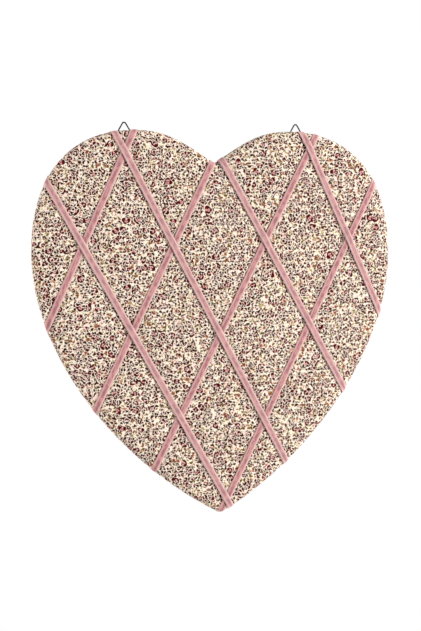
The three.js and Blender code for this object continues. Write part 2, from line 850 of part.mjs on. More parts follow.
// Hangers at the top of each lobe
const screwTipY = coreRearY - screwBiteShare * coreThickness;
const screwSeatY = 2 * barY;
const hangers = [["left", -1], ["right", 1]].map(([side, sign]) => {
  const x = (sign * boardWidth * hangerShare) / 2;
  return { side, x, z: barHeight(x) };
});
const screwHoles = hangers.map(({ x, z }) => {
  const deepest = screwTipY - seatGap;
  const depth = cutOverrun - deepest;
  return screwHole(x, deepest + depth / 2, z - screwDrop, depth);
});
hangers.forEach(({ side, x, z }) => {
  place(`hanger_ring_${side}`, ring(), steelWire, [x, barY, z]);
  place(`hanger_strap_${side}`, strap(), zincPlate, [x, 0, z]);
  place(
    `hanger_screw_${side}`, screw(screwSeatY - screwTipY), zincPlate, [x, screwSeatY, z - screwDrop],
  );
});

// Board, wadding, cover and back panel
const edgeInset = coverThickness + seatGap;
const core = heartLoft([[edgeInset, coreRearY], [edgeInset, coreFrontY]]);
place("core_board", cut(core, [...holes, ...screwHoles]), fibreboard);
place("wadding_pad", heartLoft(paddedLine(-edgeInset, innerSteps)), polyesterWadding);
const cloth = heartLoft([
  ...coverLine(0, outerSteps),
  ...coverLine(-coverThickness, innerSteps).reverse(),
]);
place("printed_cover", cut(cloth, [...holes, ...screwHoles]), printedCotton);
const panel = heartLoft([[panelInset, panelFrontY], [panelInset, 0], [panelRestInset, 0]]);
place("back_panel", cut(panel, screwHoles), greyCard);

export default board;
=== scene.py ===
"""A heart-shaped fabric memo board: padded printed cotton, a lattice of velvet ribbons and two wire hangers.

Shapes are worked out in millimetres and put into the meshes in metres. X runs to the right, the front
faces -Y and Z is up. x = 0 is the mirror plane of the heart and y = 0 the rear face of the back card.
"""

import logging
import math
from dataclasses import dataclass, field
from enum import Enum

import bpy
import numpy as np
from mathutils import Matrix, Vector


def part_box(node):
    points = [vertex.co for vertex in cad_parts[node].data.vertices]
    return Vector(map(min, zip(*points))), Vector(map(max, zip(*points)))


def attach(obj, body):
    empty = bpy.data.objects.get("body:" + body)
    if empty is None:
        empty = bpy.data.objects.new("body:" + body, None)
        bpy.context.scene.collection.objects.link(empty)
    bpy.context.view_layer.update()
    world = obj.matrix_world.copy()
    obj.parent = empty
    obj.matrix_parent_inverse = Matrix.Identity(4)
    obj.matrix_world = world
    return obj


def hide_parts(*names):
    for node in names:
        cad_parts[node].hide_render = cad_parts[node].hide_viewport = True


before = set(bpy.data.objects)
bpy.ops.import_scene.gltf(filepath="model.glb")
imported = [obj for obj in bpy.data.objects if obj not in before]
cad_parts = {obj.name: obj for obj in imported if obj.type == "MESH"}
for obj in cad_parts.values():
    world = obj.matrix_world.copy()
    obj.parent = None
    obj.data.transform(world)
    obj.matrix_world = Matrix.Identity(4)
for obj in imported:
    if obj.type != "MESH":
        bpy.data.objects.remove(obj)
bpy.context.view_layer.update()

log = logging.getLogger("memo_board")

MM = 0.001
TINY = 1e-6

Array = np.ndarray
Tree = bpy.types.NodeTree
Node = bpy.types.Node
Material = bpy.types.Material
Piece = bpy.types.Object
Cell = dict[str, bpy.types.NodeSocket]
Crossings = list[tuple[float, float]]


def linear(hex_colour: str) -> tuple[float, float, float, float]:
    """Turns an sRGB colour into the linear colour that a shader takes.

    Args:
        hex_colour: the colour as "#rrggbb".

    Returns:
        Linear red, green and blue, and an alpha of 1.
    """
    parts = [int(hex_colour[i : i + 2], 16) / 255 for i in (1, 3, 5)]
    bent = [c / 12.92 if c <= 0.04045 else ((c + 0.055) / 1.055) ** 2.4 for c in parts]
    return (*bent, 1.0)


def add_node(tree: Tree, kind: str, sockets: dict | None = None, **settings: object) -> Node:
    """Adds one node with its settings and links.

    Args:
        tree: the node tree.
        kind: the node's type name, without its leading "ShaderNode".
        sockets: for each input, by name or number, its value, an output, or a node whose first shown
            output feeds it.
        settings: attributes of the node.

    Returns:
        The node.
    """
    node = tree.nodes.new("ShaderNode" + kind)
    for name, value in settings.items():
        setattr(node, name, value)
    for key, value in (sockets or {}).items():
        if isinstance(value, Node):
            value = next(output for output in value.outputs if output.enabled)
        if isinstance(value, bpy.types.NodeSocket):
            tree.links.new(value, node.inputs[key])
        else:
            node.inputs[key].default_value = value
    return node


def new_surface(name: str, sockets: dict) -> tuple[Material, Tree, Node]:
    """Makes a material with one Principled shader.

    Args:
        name: the material's name.
        sockets: the shader's values that are the same all over.

    Returns:
        The material, its node tree and the shader.
    """
    material = bpy.data.materials.new(name)
    material.use_nodes = True
    tree = material.node_tree
    tree.nodes.clear()
    shader = add_node(tree, "BsdfPrincipled", sockets)
    add_node(tree, "OutputMaterial", {"Surface": shader})
    return material, tree, shader


def grid_faces(rows: int, columns: int, closed: bool) -> Array:
    """Quads of a grid whose corner (row, column) has the number row * columns + column.

    Args:
        rows: how many rows of corners.
        columns: how many corners in a row.
        closed: whether each row's last corner joins its first.

    Returns:
        The faces, four corners each, which run up the rows first.
    """
    last = columns if closed else columns - 1
    row, column = np.meshgrid(np.arange(rows - 1), np.arange(last), indexing="ij")
    beside = (column + 1) % columns
    corners = [row * columns + column, (row + 1) * columns + column]
    corners += [(row + 1) * columns + beside, row * columns + beside]
    return np.stack(corners, axis=-1).reshape(-1, 4)


def fan_faces(loop: Array, hub: int) -> Array:
    """Triangles from each side of a loop of corners to a hub.

    Args:
        loop: the corners' numbers, in order.
        hub: the hub's number.

    Returns:
        The faces, three corners each.
    """
    return np.stack([loop, np.full(len(loop), hub), np.roll(loop, -1)], axis=1)


def closed_tube(rings: Array, hubs: Array) -> tuple[Array, list[Array]]:
    """Joins rings of equally many corners into a tube, closed by a fan at each end.

    Args:
        rings: the corners, by ring.
        hubs: the fans' middles, at the first ring and at the last.

    Returns:
        All the points, and the faces.
    """
    count, around = rings.shape[:2]
    total = count * around
    loop = np.arange(around)
    points = np.concatenate([rings.reshape(-1, 3), hubs])
    fans = [fan_faces(loop[::-1], total), fan_faces(total - around + loop, total + 1)]
    return points, [grid_faces(count, around, True), *fans]


def make_piece(
    name: str,
    points: Array,
    faces: list[Array],
    finish: Material,
    uv: tuple[str, Array] | None = None,
) -> Piece:
    """Puts points and faces into a smooth mesh object at the origin.

    Args:
        name: the piece's name.
        points: corners in millimetres, one row each.
        faces: arrays of faces, each of one number of corners.
        finish: the material.
        uv: the UV map's name and one place for each corner.

    Returns:
        The object.
    """
    mesh = bpy.data.meshes.new(name)
    mesh.from_pydata((points * MM).tolist(), [], [face for group in faces for face in group.tolist()])
    mesh.polygons.foreach_set("use_smooth", np.ones(len(mesh.polygons), dtype=bool))
    if uv is not None:
        corners = np.empty(len(mesh.loops), dtype=np.int32)
        mesh.loops.foreach_get("vertex_index", corners)
        layer = mesh.uv_layers.new(name=uv[0])
        layer.data.foreach_set("uv", uv[1][corners].astype(np.float32).ravel())
    mesh.materials.append(finish)
    piece = bpy.data.objects.new(name, mesh)
    bpy.context.scene.collection.objects.link(piece)
    return piece


def smooth_step(value: Array) -> Array:
    """A soft ramp from 0 to 1: three squares less two cubes of the value, held between 0 and 1."""
    held = np.clip(value, 0, 1)
    return held * held * (3 - 2 * held)


def cross(first: Array, second: Array) -> Array:
    """The flat cross product of two directions, or of arrays of them."""
    return first[..., 0] * second[..., 1] - first[..., 1] * second[..., 0]


@dataclass
class HeartOutline:
    """The heart's edge, seen from the front: an arc in the notch, three curves down the flank, a round tip.

    The shares are those of the board's half width or height at which the curves' ends and handles lie.
    Fuller_by is how much the right flank's padding stands out past the left's, and mirror_share how much
    of the way to the mirror plane an inset may take.
    """

    width: float
    height: float
    samples: int = 1800
    notch_depth_share: float = 0.0825
    notch_radius: float = 3
    notch_angle: float = math.radians(34.7)
    tip_radius: float = 12
    tip_angle: float = math.radians(30.4)
    notch_handle_share: float = 0.223
    lobe_top_share: float = 0.43
    lobe_inner_share: float = 0.153
    lobe_outer_share: float = 0.386
    widest_share: float = 0.18
    widest_upper_share: float = 0.187
    widest_lower_share: float = 0.233
    tip_handle_share: float = 0.319
    curve_steps: int = 400
    fuller_by: float = 3.2
    fuller_reach: float = 30
    mirror_share: float = 0.96
    at_once: int = 4000
    points: Array = field(init=False)
    normals: Array = field(init=False)
    runs: Array = field(init=False)
    length: float = field(init=False)

    def __post_init__(self) -> None:
        """Samples the whole edge at equal steps, clockwise from the notch as seen from the front."""
        points, tangents = self._right_half()
        normals = np.stack([-tangents[:, 1], tangents[:, 0]], axis=1)
        mirror = np.array([-1, 1])
        fuller = points + self._padding(points, normals)
        points = np.concatenate([fuller, points[-2::-1] * mirror])
        normals = np.concatenate([normals, normals[-2::-1] * mirror])
        travel = np.concatenate([[0], np.cumsum(np.linalg.norm(np.diff(points, axis=0), axis=1))])
        self.length = float(travel[-1])
        self.runs = np.arange(self.samples) * self.length / self.samples
        self.points = np.stack([np.interp(self.runs, travel, points[:, k]) for k in (0, 1)], axis=1)
        turned = np.stack([np.interp(self.runs, travel, normals[:, k]) for k in (0, 1)], axis=1)
        self.normals = turned / np.linalg.norm(turned, axis=1, keepdims=True)

    def _padding(self, points: Array, normals: Array) -> Array:
        """How far the right flank is moved out, because its padding is fuller than the left's.

        The way along x is the full amount, times a soft ramp of x over its reach, times the normal's share
        along x, so all of it is there where the edge faces sideways.

        Args:
            points: the right half's points.
            normals: their outward normals.

        Returns:
            The moves, with (x, z) last.
        """
        share = smooth_step(points[:, 0] / self.fuller_reach) * np.clip(normals[:, 0], 0, 1)
        return self.fuller_by * share[:, None] * np.array([1, 0])

    def _right_half(self) -> tuple[Array, Array]:
        """Points of the right half, from the notch over the lobe to the tip.

        Returns:
            The points and their unit tangents, with (x, z) last.
        """
        half, top = self.width / 2, self.height / 2
        notch_z = top - self.height * self.notch_depth_share
        notch_end = self._on_arc(notch_z + self.notch_radius, self.notch_radius, self.notch_angle)
        tip_start = self._on_arc(self.tip_radius - top, self.tip_radius, self.tip_angle)
        lobe = np.array([half * self.lobe_top_share, top])
        widest = np.array([half, self.height * self.widest_share])
        notch_way = np.array([math.cos(self.notch_angle), math.sin(self.notch_angle)])
        tip_way = np.array([math.cos(self.tip_angle), math.sin(self.tip_angle)])
        curves = [
            self._arc(notch_z + self.notch_radius, self.notch_radius, 0, self.notch_angle, 1),
            self._curve(
                notch_end,
                notch_end + notch_way * half * self.notch_handle_share,
                lobe - [half * self.lobe_inner_share, 0],
                lobe,
            ),
            self._curve(
                lobe,
                lobe + [half * self.lobe_outer_share, 0],
                widest + [0, self.height * self.widest_upper_share],
                widest,
            ),
            self._curve(
                widest,
                widest - [0, self.height * self.widest_lower_share],
                tip_start + tip_way * self.height * self.tip_handle_share,
                tip_start,
            ),
            self._arc(self.tip_radius - top, self.tip_radius, self.tip_angle, 0, -1),
        ]
        points = np.concatenate([curve[0][1 if k else 0 :] for k, curve in enumerate(curves)])
        tangents = np.concatenate([curve[1][1 if k else 0 :] for k, curve in enumerate(curves)])
        return points, tangents

    @staticmethod
    def _on_arc(centre_z: float, radius: float, angle: float) -> Array:
        """The point of an arc about (0, centre_z) at an angle from straight down."""
        return np.array([radius * math.sin(angle), centre_z - radius * math.cos(angle)])

    def _arc(
        self, centre_z: float, radius: float, start: float, end: float, way: int
    ) -> tuple[Array, Array]:
        """An arc about (0, centre_z): the radius times the sine and the negative cosine of the angle.

        Args:
            centre_z: height of its centre.
            radius: its radius.
            start: its first angle, from straight down.
            end: its last angle.
            way: 1 where it is followed as the angle grows, -1 where it is followed back.

        Returns:
            The points and their unit tangents.
        """
        angle = np.linspace(start, end, self.curve_steps)
        points = np.stack([radius * np.sin(angle), centre_z - radius * np.cos(angle)], axis=1)
        return points, way * np.stack([np.cos(angle), np.sin(angle)], axis=1)

    def _curve(self, a: Array, b: Array, c: Array, d: Array) -> tuple[Array, Array]:
        """A cubic curve with two handles: the corners weighted by (1-t)^3, 3t(1-t)^2, 3t^2(1-t), t^3.

        Args:
            a: its start.
            b: the start's handle.
            c: the end's handle.
            d: its end.

        Returns:
            The points and their unit tangents.
        """
        t = np.linspace(0, 1, self.curve_steps)[:, None]
        points = a * (1 - t) ** 3 + 3 * b * t * (1 - t) ** 2 + 3 * c * t**2 * (1 - t) + d * t**3
        slope = (b - a) * (1 - t) ** 2 + 2 * (c - b) * t * (1 - t) + (d - c) * t**2
        return points, slope / np.linalg.norm(slope, axis=1, keepdims=True)

    def at(self, run: Array) -> tuple[Array, Array]:
        """Points and outward normals at runs along the edge.

        Args:
            run: lengths along the edge from the notch, in millimetres.

        Returns:
            The points and the normals, with (x, z) last.
        """
        look_up = [
            np.interp(run, self.runs, values[:, k], period=self.length)
            for values in (self.points, self.normals)
            for k in (0, 1)
        ]
        return np.stack(look_up[:2], axis=-1), np.stack(look_up[2:], axis=-1)

    def nearest(self, places: Array) -> tuple[Array, Array]:
        """How far places lie inside the edge, and the run of the nearest point of the edge.

        The nearest sample is the one of least squared distance. The inset is the way from the place to
        it along its normal, and the run is moved on by the way along its tangent.

        Args:
            places: (x, z) last, in millimetres.

        Returns:
            The insets, below 0 outside, and the runs.
        """
        flat = places.reshape(-1, 2)
        found = np.empty(len(flat), dtype=int)
        squares = np.sum(self.points**2, axis=1)
        for start in range(0, len(flat), self.at_once):
            part = slice(start, start + self.at_once)
            found[part] = np.argmin(squares - 2 * flat[part] @ self.points.T, axis=1)
        away = flat - self.points[found]
        normal = self.normals[found]
        inset = -np.sum(away * normal, axis=1)
        run = self.runs[found] + away[:, 0] * normal[:, 1] - away[:, 1] * normal[:, 0]
        return inset.reshape(places.shape[:-1]), run.reshape(places.shape[:-1])

    def loop(self, count: int, inset: float) -> tuple[Array, Array]:
        """Equally spaced points of the edge moved in by an inset, but never past the mirror plane.

        Args:
            count: how many points.
            inset: the way in along the normal, in millimetres.

        Returns:
            The points and the outward normals.
        """
        points, normals = self.at(np.arange(count) * self.length / count)
        with np.errstate(divide="ignore", invalid="ignore"):
            room = np.where(np.abs(normals[:, 0]) > TINY, points[:, 0] / normals[:, 0], np.inf)
        room = np.where((points[:, 1] < 0) & (np.abs(points[:, 0]) < TINY), self.tip_radius, room)
        limit = np.where(room > 0, self.mirror_share * room, np.inf)
        return points - normals * np.minimum(inset, limit)[:, None], normals


@dataclass
class PaddedFace:
    """The levels of the padded board along Y, and the section of its soft shoulder, in millimetres."""

    front_y: float
    cover_rear_y: float
    core_front_y: float
    crown: float = 1.3
    crown_reach: float = 36
    rear_radius: float = 1.5
    edge_y: float = field(init=False)
    slope: float = field(init=False)
    radius: float = field(init=False)
    sweep: float = field(init=False)
    inset: float = field(init=False)
    rear_corner_y: float = field(init=False)

    def __post_init__(self) -> None:
        """Works out the shoulder: an arc from the core's front edge to the slope where the crown starts."""
        self.edge_y = self.front_y + self.crown
        self.slope = math.atan2(2 * self.crown, self.crown_reach)
        self.radius = (self.core_front_y - self.edge_y) / math.cos(self.slope)
        self.sweep = math.pi / 2 - self.slope
        self.inset = self.radius * (1 - math.sin(self.slope))
        self.rear_corner_y = self.cover_rear_y - self.rear_radius

    def crown_y(self, inset: Array) -> Array:
        """The cloth's level past the shoulder, which falls by the square of what is left of its reach."""
        left = 1 - np.clip((inset - self.inset) / (self.crown_reach - self.inset), 0, 1)
        return self.front_y + self.crown * left**2

    def on_shoulder(self, angle: Array, offset: Array) -> tuple[Array, Array]:
        """Inset and level at an angle from the wall, raised by an offset."""
        reach = self.radius + offset
        return self.radius - reach * np.cos(angle), self.core_front_y - reach * np.sin(angle)

    def on_rear_corner(self, angle: Array, offset: Array) -> tuple[Array, Array]:
        """Inset and level on the small rear corner at an angle from the wall, raised by an offset."""
        reach = self.rear_radius + offset
        return self.rear_radius - reach * np.cos(angle), self.rear_corner_y + reach * np.sin(angle)

    @property
    def wall_height(self) -> float:
        """Height of the straight wall between the rear corner and the shoulder."""
        return self.rear_corner_y - self.core_front_y


@dataclass
class RibbonLine:
    """The centre line of one ribbon as seen from the front, in millimetres."""

    name: str
    origin: Array
    along: Array
    tail_turns: tuple[float, float]

    @property
    def across(self) -> Array:
        """Direction across the ribbon, to its right as it runs up."""
        return np.array([self.along[1], -self.along[0]])

    def place(self, length: Array, shift: Array) -> Array:
        """Points at lengths along the line, moved across it."""
        return self.origin + length[..., None] * self.along + shift[..., None] * self.across


class NapShade(Enum):
    """Which way a set of ribbons' pile leans, which picks its base colours: painted shade, lighter or
    darker, for how the light catches that pile.
    """

    DOWN = "down"
    UP = "up"


class Mark(Enum):
    """The shapes that the flower print is drawn from."""

    LEAF = "leaf"
    RING = "ring"
    WHORL = "whorl"


@dataclass(frozen=True)
class Motif:
    """One sort of printed mark, one to a cell of an uneven grid.

    Sizes are in millimetres. Size is a leaf's half length, a ring's radius or the radius on which a
    whorl's petals sit, and stroke is half the width of a leaf or a ring, or a petal's radius. Keep is the
    share of the cells that hold a mark, fill the colour inside a ring or a whorl, and clear the width of
    bare ground round the mark.
    """

    mark: Mark
    pitch: float
    size: float
    stroke: float
    keep: float
    start: tuple[float, float]
    colours: tuple[str, str]
    bend: float = 0.7
    petals: int = 3
    fill: str = ""
    clear: float = 0


@dataclass(frozen=True)
class PrintedCotton:
    """Plain-weave cotton, roller printed with small flowers on cream: matt, with a slightly uneven face.

    The flower print is a common small scattered one, drawn from loose marks of a few sorts. Lengths are in
    millimetres on the flat cloth. Thread is one over and under of the weave, drawn at twice its real 0.45
    so that it shows. Pool is the size of the ground's clouds of tint, wobble how far a printed edge strays
    within a wobble_size, and soft half the width over which its ink fades.
    """

    thread: float = 0.9
    thread_relief: float = 0.03
    slub: float = 2.857
    slub_share: float = 2.5
    ground: str = "#fceddd"
    blush: str = "#fadcd1"
    moss: str = "#ece2c2"
    pool: float = 6.25
    wobble: float = 0.35
    wobble_size: float = 2
    soft: float = 0.06
    scatter: float = 0.95
    largest: float = 1.25
    smallest: float = 0.75
    ring_waves: tuple[tuple[float, float], ...] = ((2.0, 0.8), (3.0, 2.1))
    ring_swell: float = 0.45
    # Each has its mark, pitch, size, stroke, keep, start and colours. The wide ring and the small leaf
    # after it share their cells: they are the open flower and its eye.
    motifs: tuple[Motif, ...] = (
        Motif(Mark.LEAF, 2.7, 1.2, 0.4, 0.6, (61.7, 41.3), ("#b08c44", "#968a2c"), bend=0.85),
        Motif(Mark.LEAF, 4.9, 2.0, 0.9, 0.58, (11.3, 2.9), ("#a89858", "#c48876")),
        Motif(Mark.LEAF, 2.9, 1.2, 0.45, 0.6, (71.9, 13.7), ("#9c684c", "#866a24"), bend=0.75),
        Motif(Mark.LEAF, 3.7, 1.9, 0.98, 0.64, (3.1, 7.7), ("#704418", "#645806"), bend=0.95, clear=0.35),
        Motif(
            Mark.WHORL, 6.5, 1.1, 0.66, 0.45, (5.9, 17.1), ("#b0705c", "#904c34"),
            petals=5, fill="#4c1c10",
        ),
        Motif(
            Mark.RING, 9.7, 2.35, 0.92, 0.46, (23.7, 13.9), ("#540c10", "#440e06"),
            fill="#dca09a", clear=0.5,
        ),
        Motif(Mark.LEAF, 9.7, 0.6, 0.5, 0.46, (23.7, 13.9), ("#6a1410", "#8a3c2c"), bend=0.2),
        Motif(
            Mark.RING, 6.5, 1.4, 0.78, 0.38, (17.3, 37.1), ("#5c1210", "#441204"),
            fill="#e4b6ac", clear=0.45,
        ),
        Motif(Mark.LEAF, 4.2, 1.9, 1.06, 0.5, (41.9, 9.1), ("#3c1c00", "#4c100a"), bend=1.2, clear=0.45),
        Motif(Mark.LEAF, 3.9, 1.4, 0.95, 0.3, (31.1, 5.3), ("#240c00", "#400c06"), bend=0.65, clear=0.5),
    )

    def build(self) -> Material:
        """Makes the material from the cloth's own UV map, which is its flat cut in millimetres.

        Returns:
            The material.
        """
        values = {"Roughness": 0.86, "Specular IOR Level": 0.12, "Sheen Weight": 0.02}
        material, tree, shader = new_surface("printed_cotton", values)
        uv = add_node(tree, "UVMap", uv_map=PrintedCover.UV_NAME)
        cloth = add_node(tree, "VectorMath", {0: uv, 3: PrintedCover.UV_SPAN}, operation="SCALE")
        grain = {"Vector": cloth, "Scale": 1 / self.wobble_size, "Detail": 1.0}
        hand = add_node(tree, "TexNoise", grain, noise_dimensions="2D")
        middle = {0: hand.outputs["Color"], 1: (0.5, 0.5, 0.5)}
        swing = add_node(tree, "VectorMath", middle, operation="SUBTRACT")
        drift = add_node(tree, "VectorMath", {0: swing, 3: self.wobble * 2}, operation="SCALE")
        drawn = add_node(tree, "VectorMath", {0: cloth, 1: drift}, operation="ADD")
        colour = self._ground(tree, cloth)
        for motif in self.motifs:
            colour = self._print(tree, drawn, colour, motif)
        tree.links.new(colour.outputs[2], shader.inputs["Base Color"])
        self._weave(tree, cloth, shader)
        return material

    def _ground(self, tree: Tree, cloth: Node) -> Node:
        """Cream with pools of blush and of moss tint, a few millimetres wide.

        Args:
            tree: the node tree.
            cloth: the place on the cloth in millimetres.

        Returns:
            The mix whose result is the ground's colour.
        """
        clouds = {"Vector": cloth, "Scale": 1 / self.pool, "Detail": 2.0}
        tint = add_node(tree, "TexNoise", clouds, noise_dimensions="2D")
        blush = add_node(tree, "MapRange", {0: tint, 1: 0.5, 2: 0.62, 3: 0.0, 4: 1.0})
        moss = add_node(tree, "MapRange", {0: tint, 1: 0.47, 2: 0.36, 3: 0.0, 4: 0.9})
        warm = {0: blush, 6: linear(self.ground), 7: linear(self.blush)}
        first = add_node(tree, "Mix", warm, data_type="RGBA")
        return add_node(tree, "Mix", {0: moss, 6: first.outputs[2], 7: linear(self.moss)}, data_type="RGBA")

    def _cell(self, tree: Tree, cloth: Node, motif: Motif) -> Cell:
        """One mark to a cell: the place within it, turned at random, with its distance and bearing.

        Args:
            tree: the node tree.
            cloth: the place on the cloth in millimetres.
            motif: the mark's pitch, start, share of cells and colours.

        Returns:
            x and y from the mark's middle, its radius and bearing, whether the cell is kept and the
            mark's own colour.
        """
        start = add_node(tree, "VectorMath", {0: cloth, 1: (*motif.start, 0)}, operation="ADD")
        spread = {"Vector": start, "Scale": 1 / motif.pitch, "Randomness": self.scatter}
        cells = add_node(tree, "TexVoronoi", spread, voronoi_dimensions="2D")
        luck = add_node(tree, "SeparateColor", {0: cells.outputs["Color"]})
        local = add_node(tree, "VectorMath", {0: start, 1: cells.outputs["Position"]}, operation="SUBTRACT")
        turn = add_node(tree, "Math", {0: luck.outputs[0], 1: math.tau}, operation="MULTIPLY")
        turned = add_node(tree, "VectorRotate", {"Vector": local, "Angle": turn}, rotation_type="Z_AXIS")
        sizes = {0: luck.outputs[1], 1: 0.0, 2: motif.keep, 3: self.largest, 4: self.smallest}
        shrink = add_node(tree, "MapRange", sizes)
        turned = add_node(tree, "VectorMath", {0: turned, 3: shrink}, operation="SCALE")
        parts = add_node(tree, "SeparateXYZ", {0: turned})
        kept = add_node(tree, "Math", {0: luck.outputs[1], 1: motif.keep}, operation="LESS_THAN")
        first, second = (linear(colour) for colour in motif.colours)
        colour = add_node(tree, "Mix", {0: luck.outputs[2], 6: first, 7: second}, data_type="RGBA")
        bearing = add_node(tree, "Math", {0: parts.outputs[1], 1: parts.outputs[0]}, operation="ARCTAN2")
        return {
            "x": parts.outputs[0],
            "y": parts.outputs[1],
            "radius": add_node(tree, "VectorMath", {0: turned}, operation="LENGTH").outputs[1],
            "bearing": bearing.outputs[0],
            "kept": kept.outputs[0],
            "colour": colour.outputs[2],
        }

    def _leaf(self, tree: Tree, cell: Cell, motif: Motif) -> Node:
        """How far outside a bent leaf.

        The leaf is an oval, long along x: the root of the squares of x over the half length and y over the
        half width, less 1, times the half width. First y is moved by the bend times x's share squared.

        Args:
            tree: the node tree.
            cell: the place within the cell, from _cell.
            motif: the leaf's size, stroke and bend.

        Returns:
            The distance in millimetres, below 0 inside.
        """
        x_share = add_node(tree, "Math", {0: cell["x"], 1: motif.size}, operation="DIVIDE")
        x_square = add_node(tree, "Math", {0: x_share, 1: x_share}, operation="MULTIPLY")
        moved = {0: x_square, 1: -motif.bend, 2: cell["y"]}
        y_bent = add_node(tree, "Math", moved, operation="MULTIPLY_ADD")
        y_share = add_node(tree, "Math", {0: y_bent, 1: motif.stroke}, operation="DIVIDE")
        square = add_node(tree, "Math", {0: y_share, 1: y_share, 2: x_square}, operation="MULTIPLY_ADD")
        share = add_node(tree, "Math", {0: square}, operation="SQRT")
        away = {0: share, 1: motif.stroke, 2: -motif.stroke}
        return add_node(tree, "Math", away, operation="MULTIPLY_ADD")

    def _ring(self, tree: Tree, cell: Cell, motif: Motif) -> Node:
        """How far outside a ring whose stroke swells and all but breaks.

        It is the way to the ring's circle, less the stroke, which two waves of the bearing widen and narrow.

        Args:
            tree: the node tree.
            cell: the place within the cell, from _cell.
            motif: the ring's size and stroke.

        Returns:
            The distance in millimetres, below 0 inside.
        """
        off_ring = add_node(tree, "Math", {0: cell["radius"], 1: motif.size}, operation="SUBTRACT")
        gap = add_node(tree, "Math", {0: off_ring}, operation="ABSOLUTE")
        waves = []
        for turns, start in self.ring_waves:
            phase = add_node(
                tree, "Math", {0: cell["bearing"], 1: turns, 2: start}, operation="MULTIPLY_ADD"
            )
            waves.append(add_node(tree, "Math", {0: phase}, operation="SINE"))
        swell = add_node(tree, "Math", {0: waves[0], 1: waves[1]}, operation="ADD")
        stroke = {0: swell, 1: self.ring_swell * motif.stroke, 2: motif.stroke}
        half = add_node(tree, "Math", stroke, operation="MULTIPLY_ADD")
        return add_node(tree, "Math", {0: gap, 1: half}, operation="SUBTRACT")

    def _whorl(self, tree: Tree, cell: Cell, motif: Motif) -> Node:
        """How far outside round petals set evenly round a middle.

        The bearing is folded into one petal's sector. The way to the petal's middle is then the third
        side of a triangle: the square root of r^2 + s^2 - 2 r s cos(angle).

        Args:
            tree: the node tree.
            cell: the place within the cell, from _cell.
            motif: the whorl's size, stroke and number of petals.

        Returns:
            The distance in millimetres, below 0 inside.
        """
        sector = math.tau / motif.petals
        folded = add_node(tree, "Math", {0: cell["bearing"], 1: sector}, operation="FLOORED_MODULO")
        angle = add_node(tree, "Math", {0: folded, 1: sector / 2}, operation="SUBTRACT")
        cosine = add_node(tree, "Math", {0: angle}, operation="COSINE")
        first = {0: cosine, 1: -2 * motif.size, 2: cell["radius"]}
        part = add_node(tree, "Math", first, operation="MULTIPLY_ADD")
        second = {0: part, 1: cell["radius"], 2: motif.size**2}
        square = add_node(tree, "Math", second, operation="MULTIPLY_ADD")
        away = add_node(tree, "Math", {0: square}, operation="SQRT")
        return add_node(tree, "Math", {0: away, 1: motif.stroke}, operation="SUBTRACT")

    def _print(self, tree: Tree, cloth: Node, below: Node, motif: Motif) -> Node:
        """Prints one sort of mark over what is there: bare ground round it, its fill, then the mark itself.

        Args:
            tree: the node tree.
            cloth: the place on the cloth in millimetres.
            below: the colour so far.
            motif: the sort of mark.

        Returns:
            The new colour.
        """
        cell = self._cell(tree, cloth, motif)
        draw = {Mark.LEAF: self._leaf, Mark.RING: self._ring, Mark.WHORL: self._whorl}[motif.mark]
        measure = draw(tree, cell, motif)
        passes = [(measure, 0.0, cell["colour"])]
        if motif.fill:
            passes.insert(0, (cell["radius"], motif.size, linear(motif.fill)))
        if motif.clear:
            passes.insert(0, (measure, motif.clear, linear(self.ground)))
        for distance, edge, colour in passes:
            fade = {0: distance, 1: edge + self.soft, 2: edge - self.soft, 3: 0.0, 4: 1.0}
            inside = add_node(tree, "MapRange", fade)
            mask = add_node(tree, "Math", {0: inside, 1: cell["kept"]}, operation="MULTIPLY")
            below = add_node(tree, "Mix", {0: mask, 6: below.outputs[2], 7: colour}, data_type="RGBA")
        return below

    def _weave(self, tree: Tree, cloth: Node, shader: Node) -> None:
        """Threads over and under, and soft slubs: the sine of x times the sine of y, plus a slow noise.

        Args:
            tree: the node tree.
            cloth: the place on the cloth in millimetres.
            shader: the shader that takes the bump.
        """
        threads = add_node(tree, "VectorMath", {0: cloth, 3: math.tau / self.thread}, operation="SCALE")
        waves = add_node(tree, "VectorMath", {0: threads}, operation="SINE")
        parts = add_node(tree, "SeparateXYZ", {0: waves})
        checker = add_node(tree, "Math", {0: parts.outputs[0], 1: parts.outputs[1]}, operation="MULTIPLY")
        uneven = {"Vector": cloth, "Scale": 1 / self.slub, "Detail": 3.0}
        slub = add_node(tree, "TexNoise", uneven, noise_dimensions="2D")
        height = add_node(tree, "Math", {0: slub, 1: self.slub_share, 2: checker}, operation="MULTIPLY_ADD")
        relief = {"Height": height, "Distance": self.thread_relief * MM, "Strength": 0.8}
        bump = add_node(tree, "Bump", relief)
        tree.links.new(bump.outputs[0], shader.inputs["Normal"])


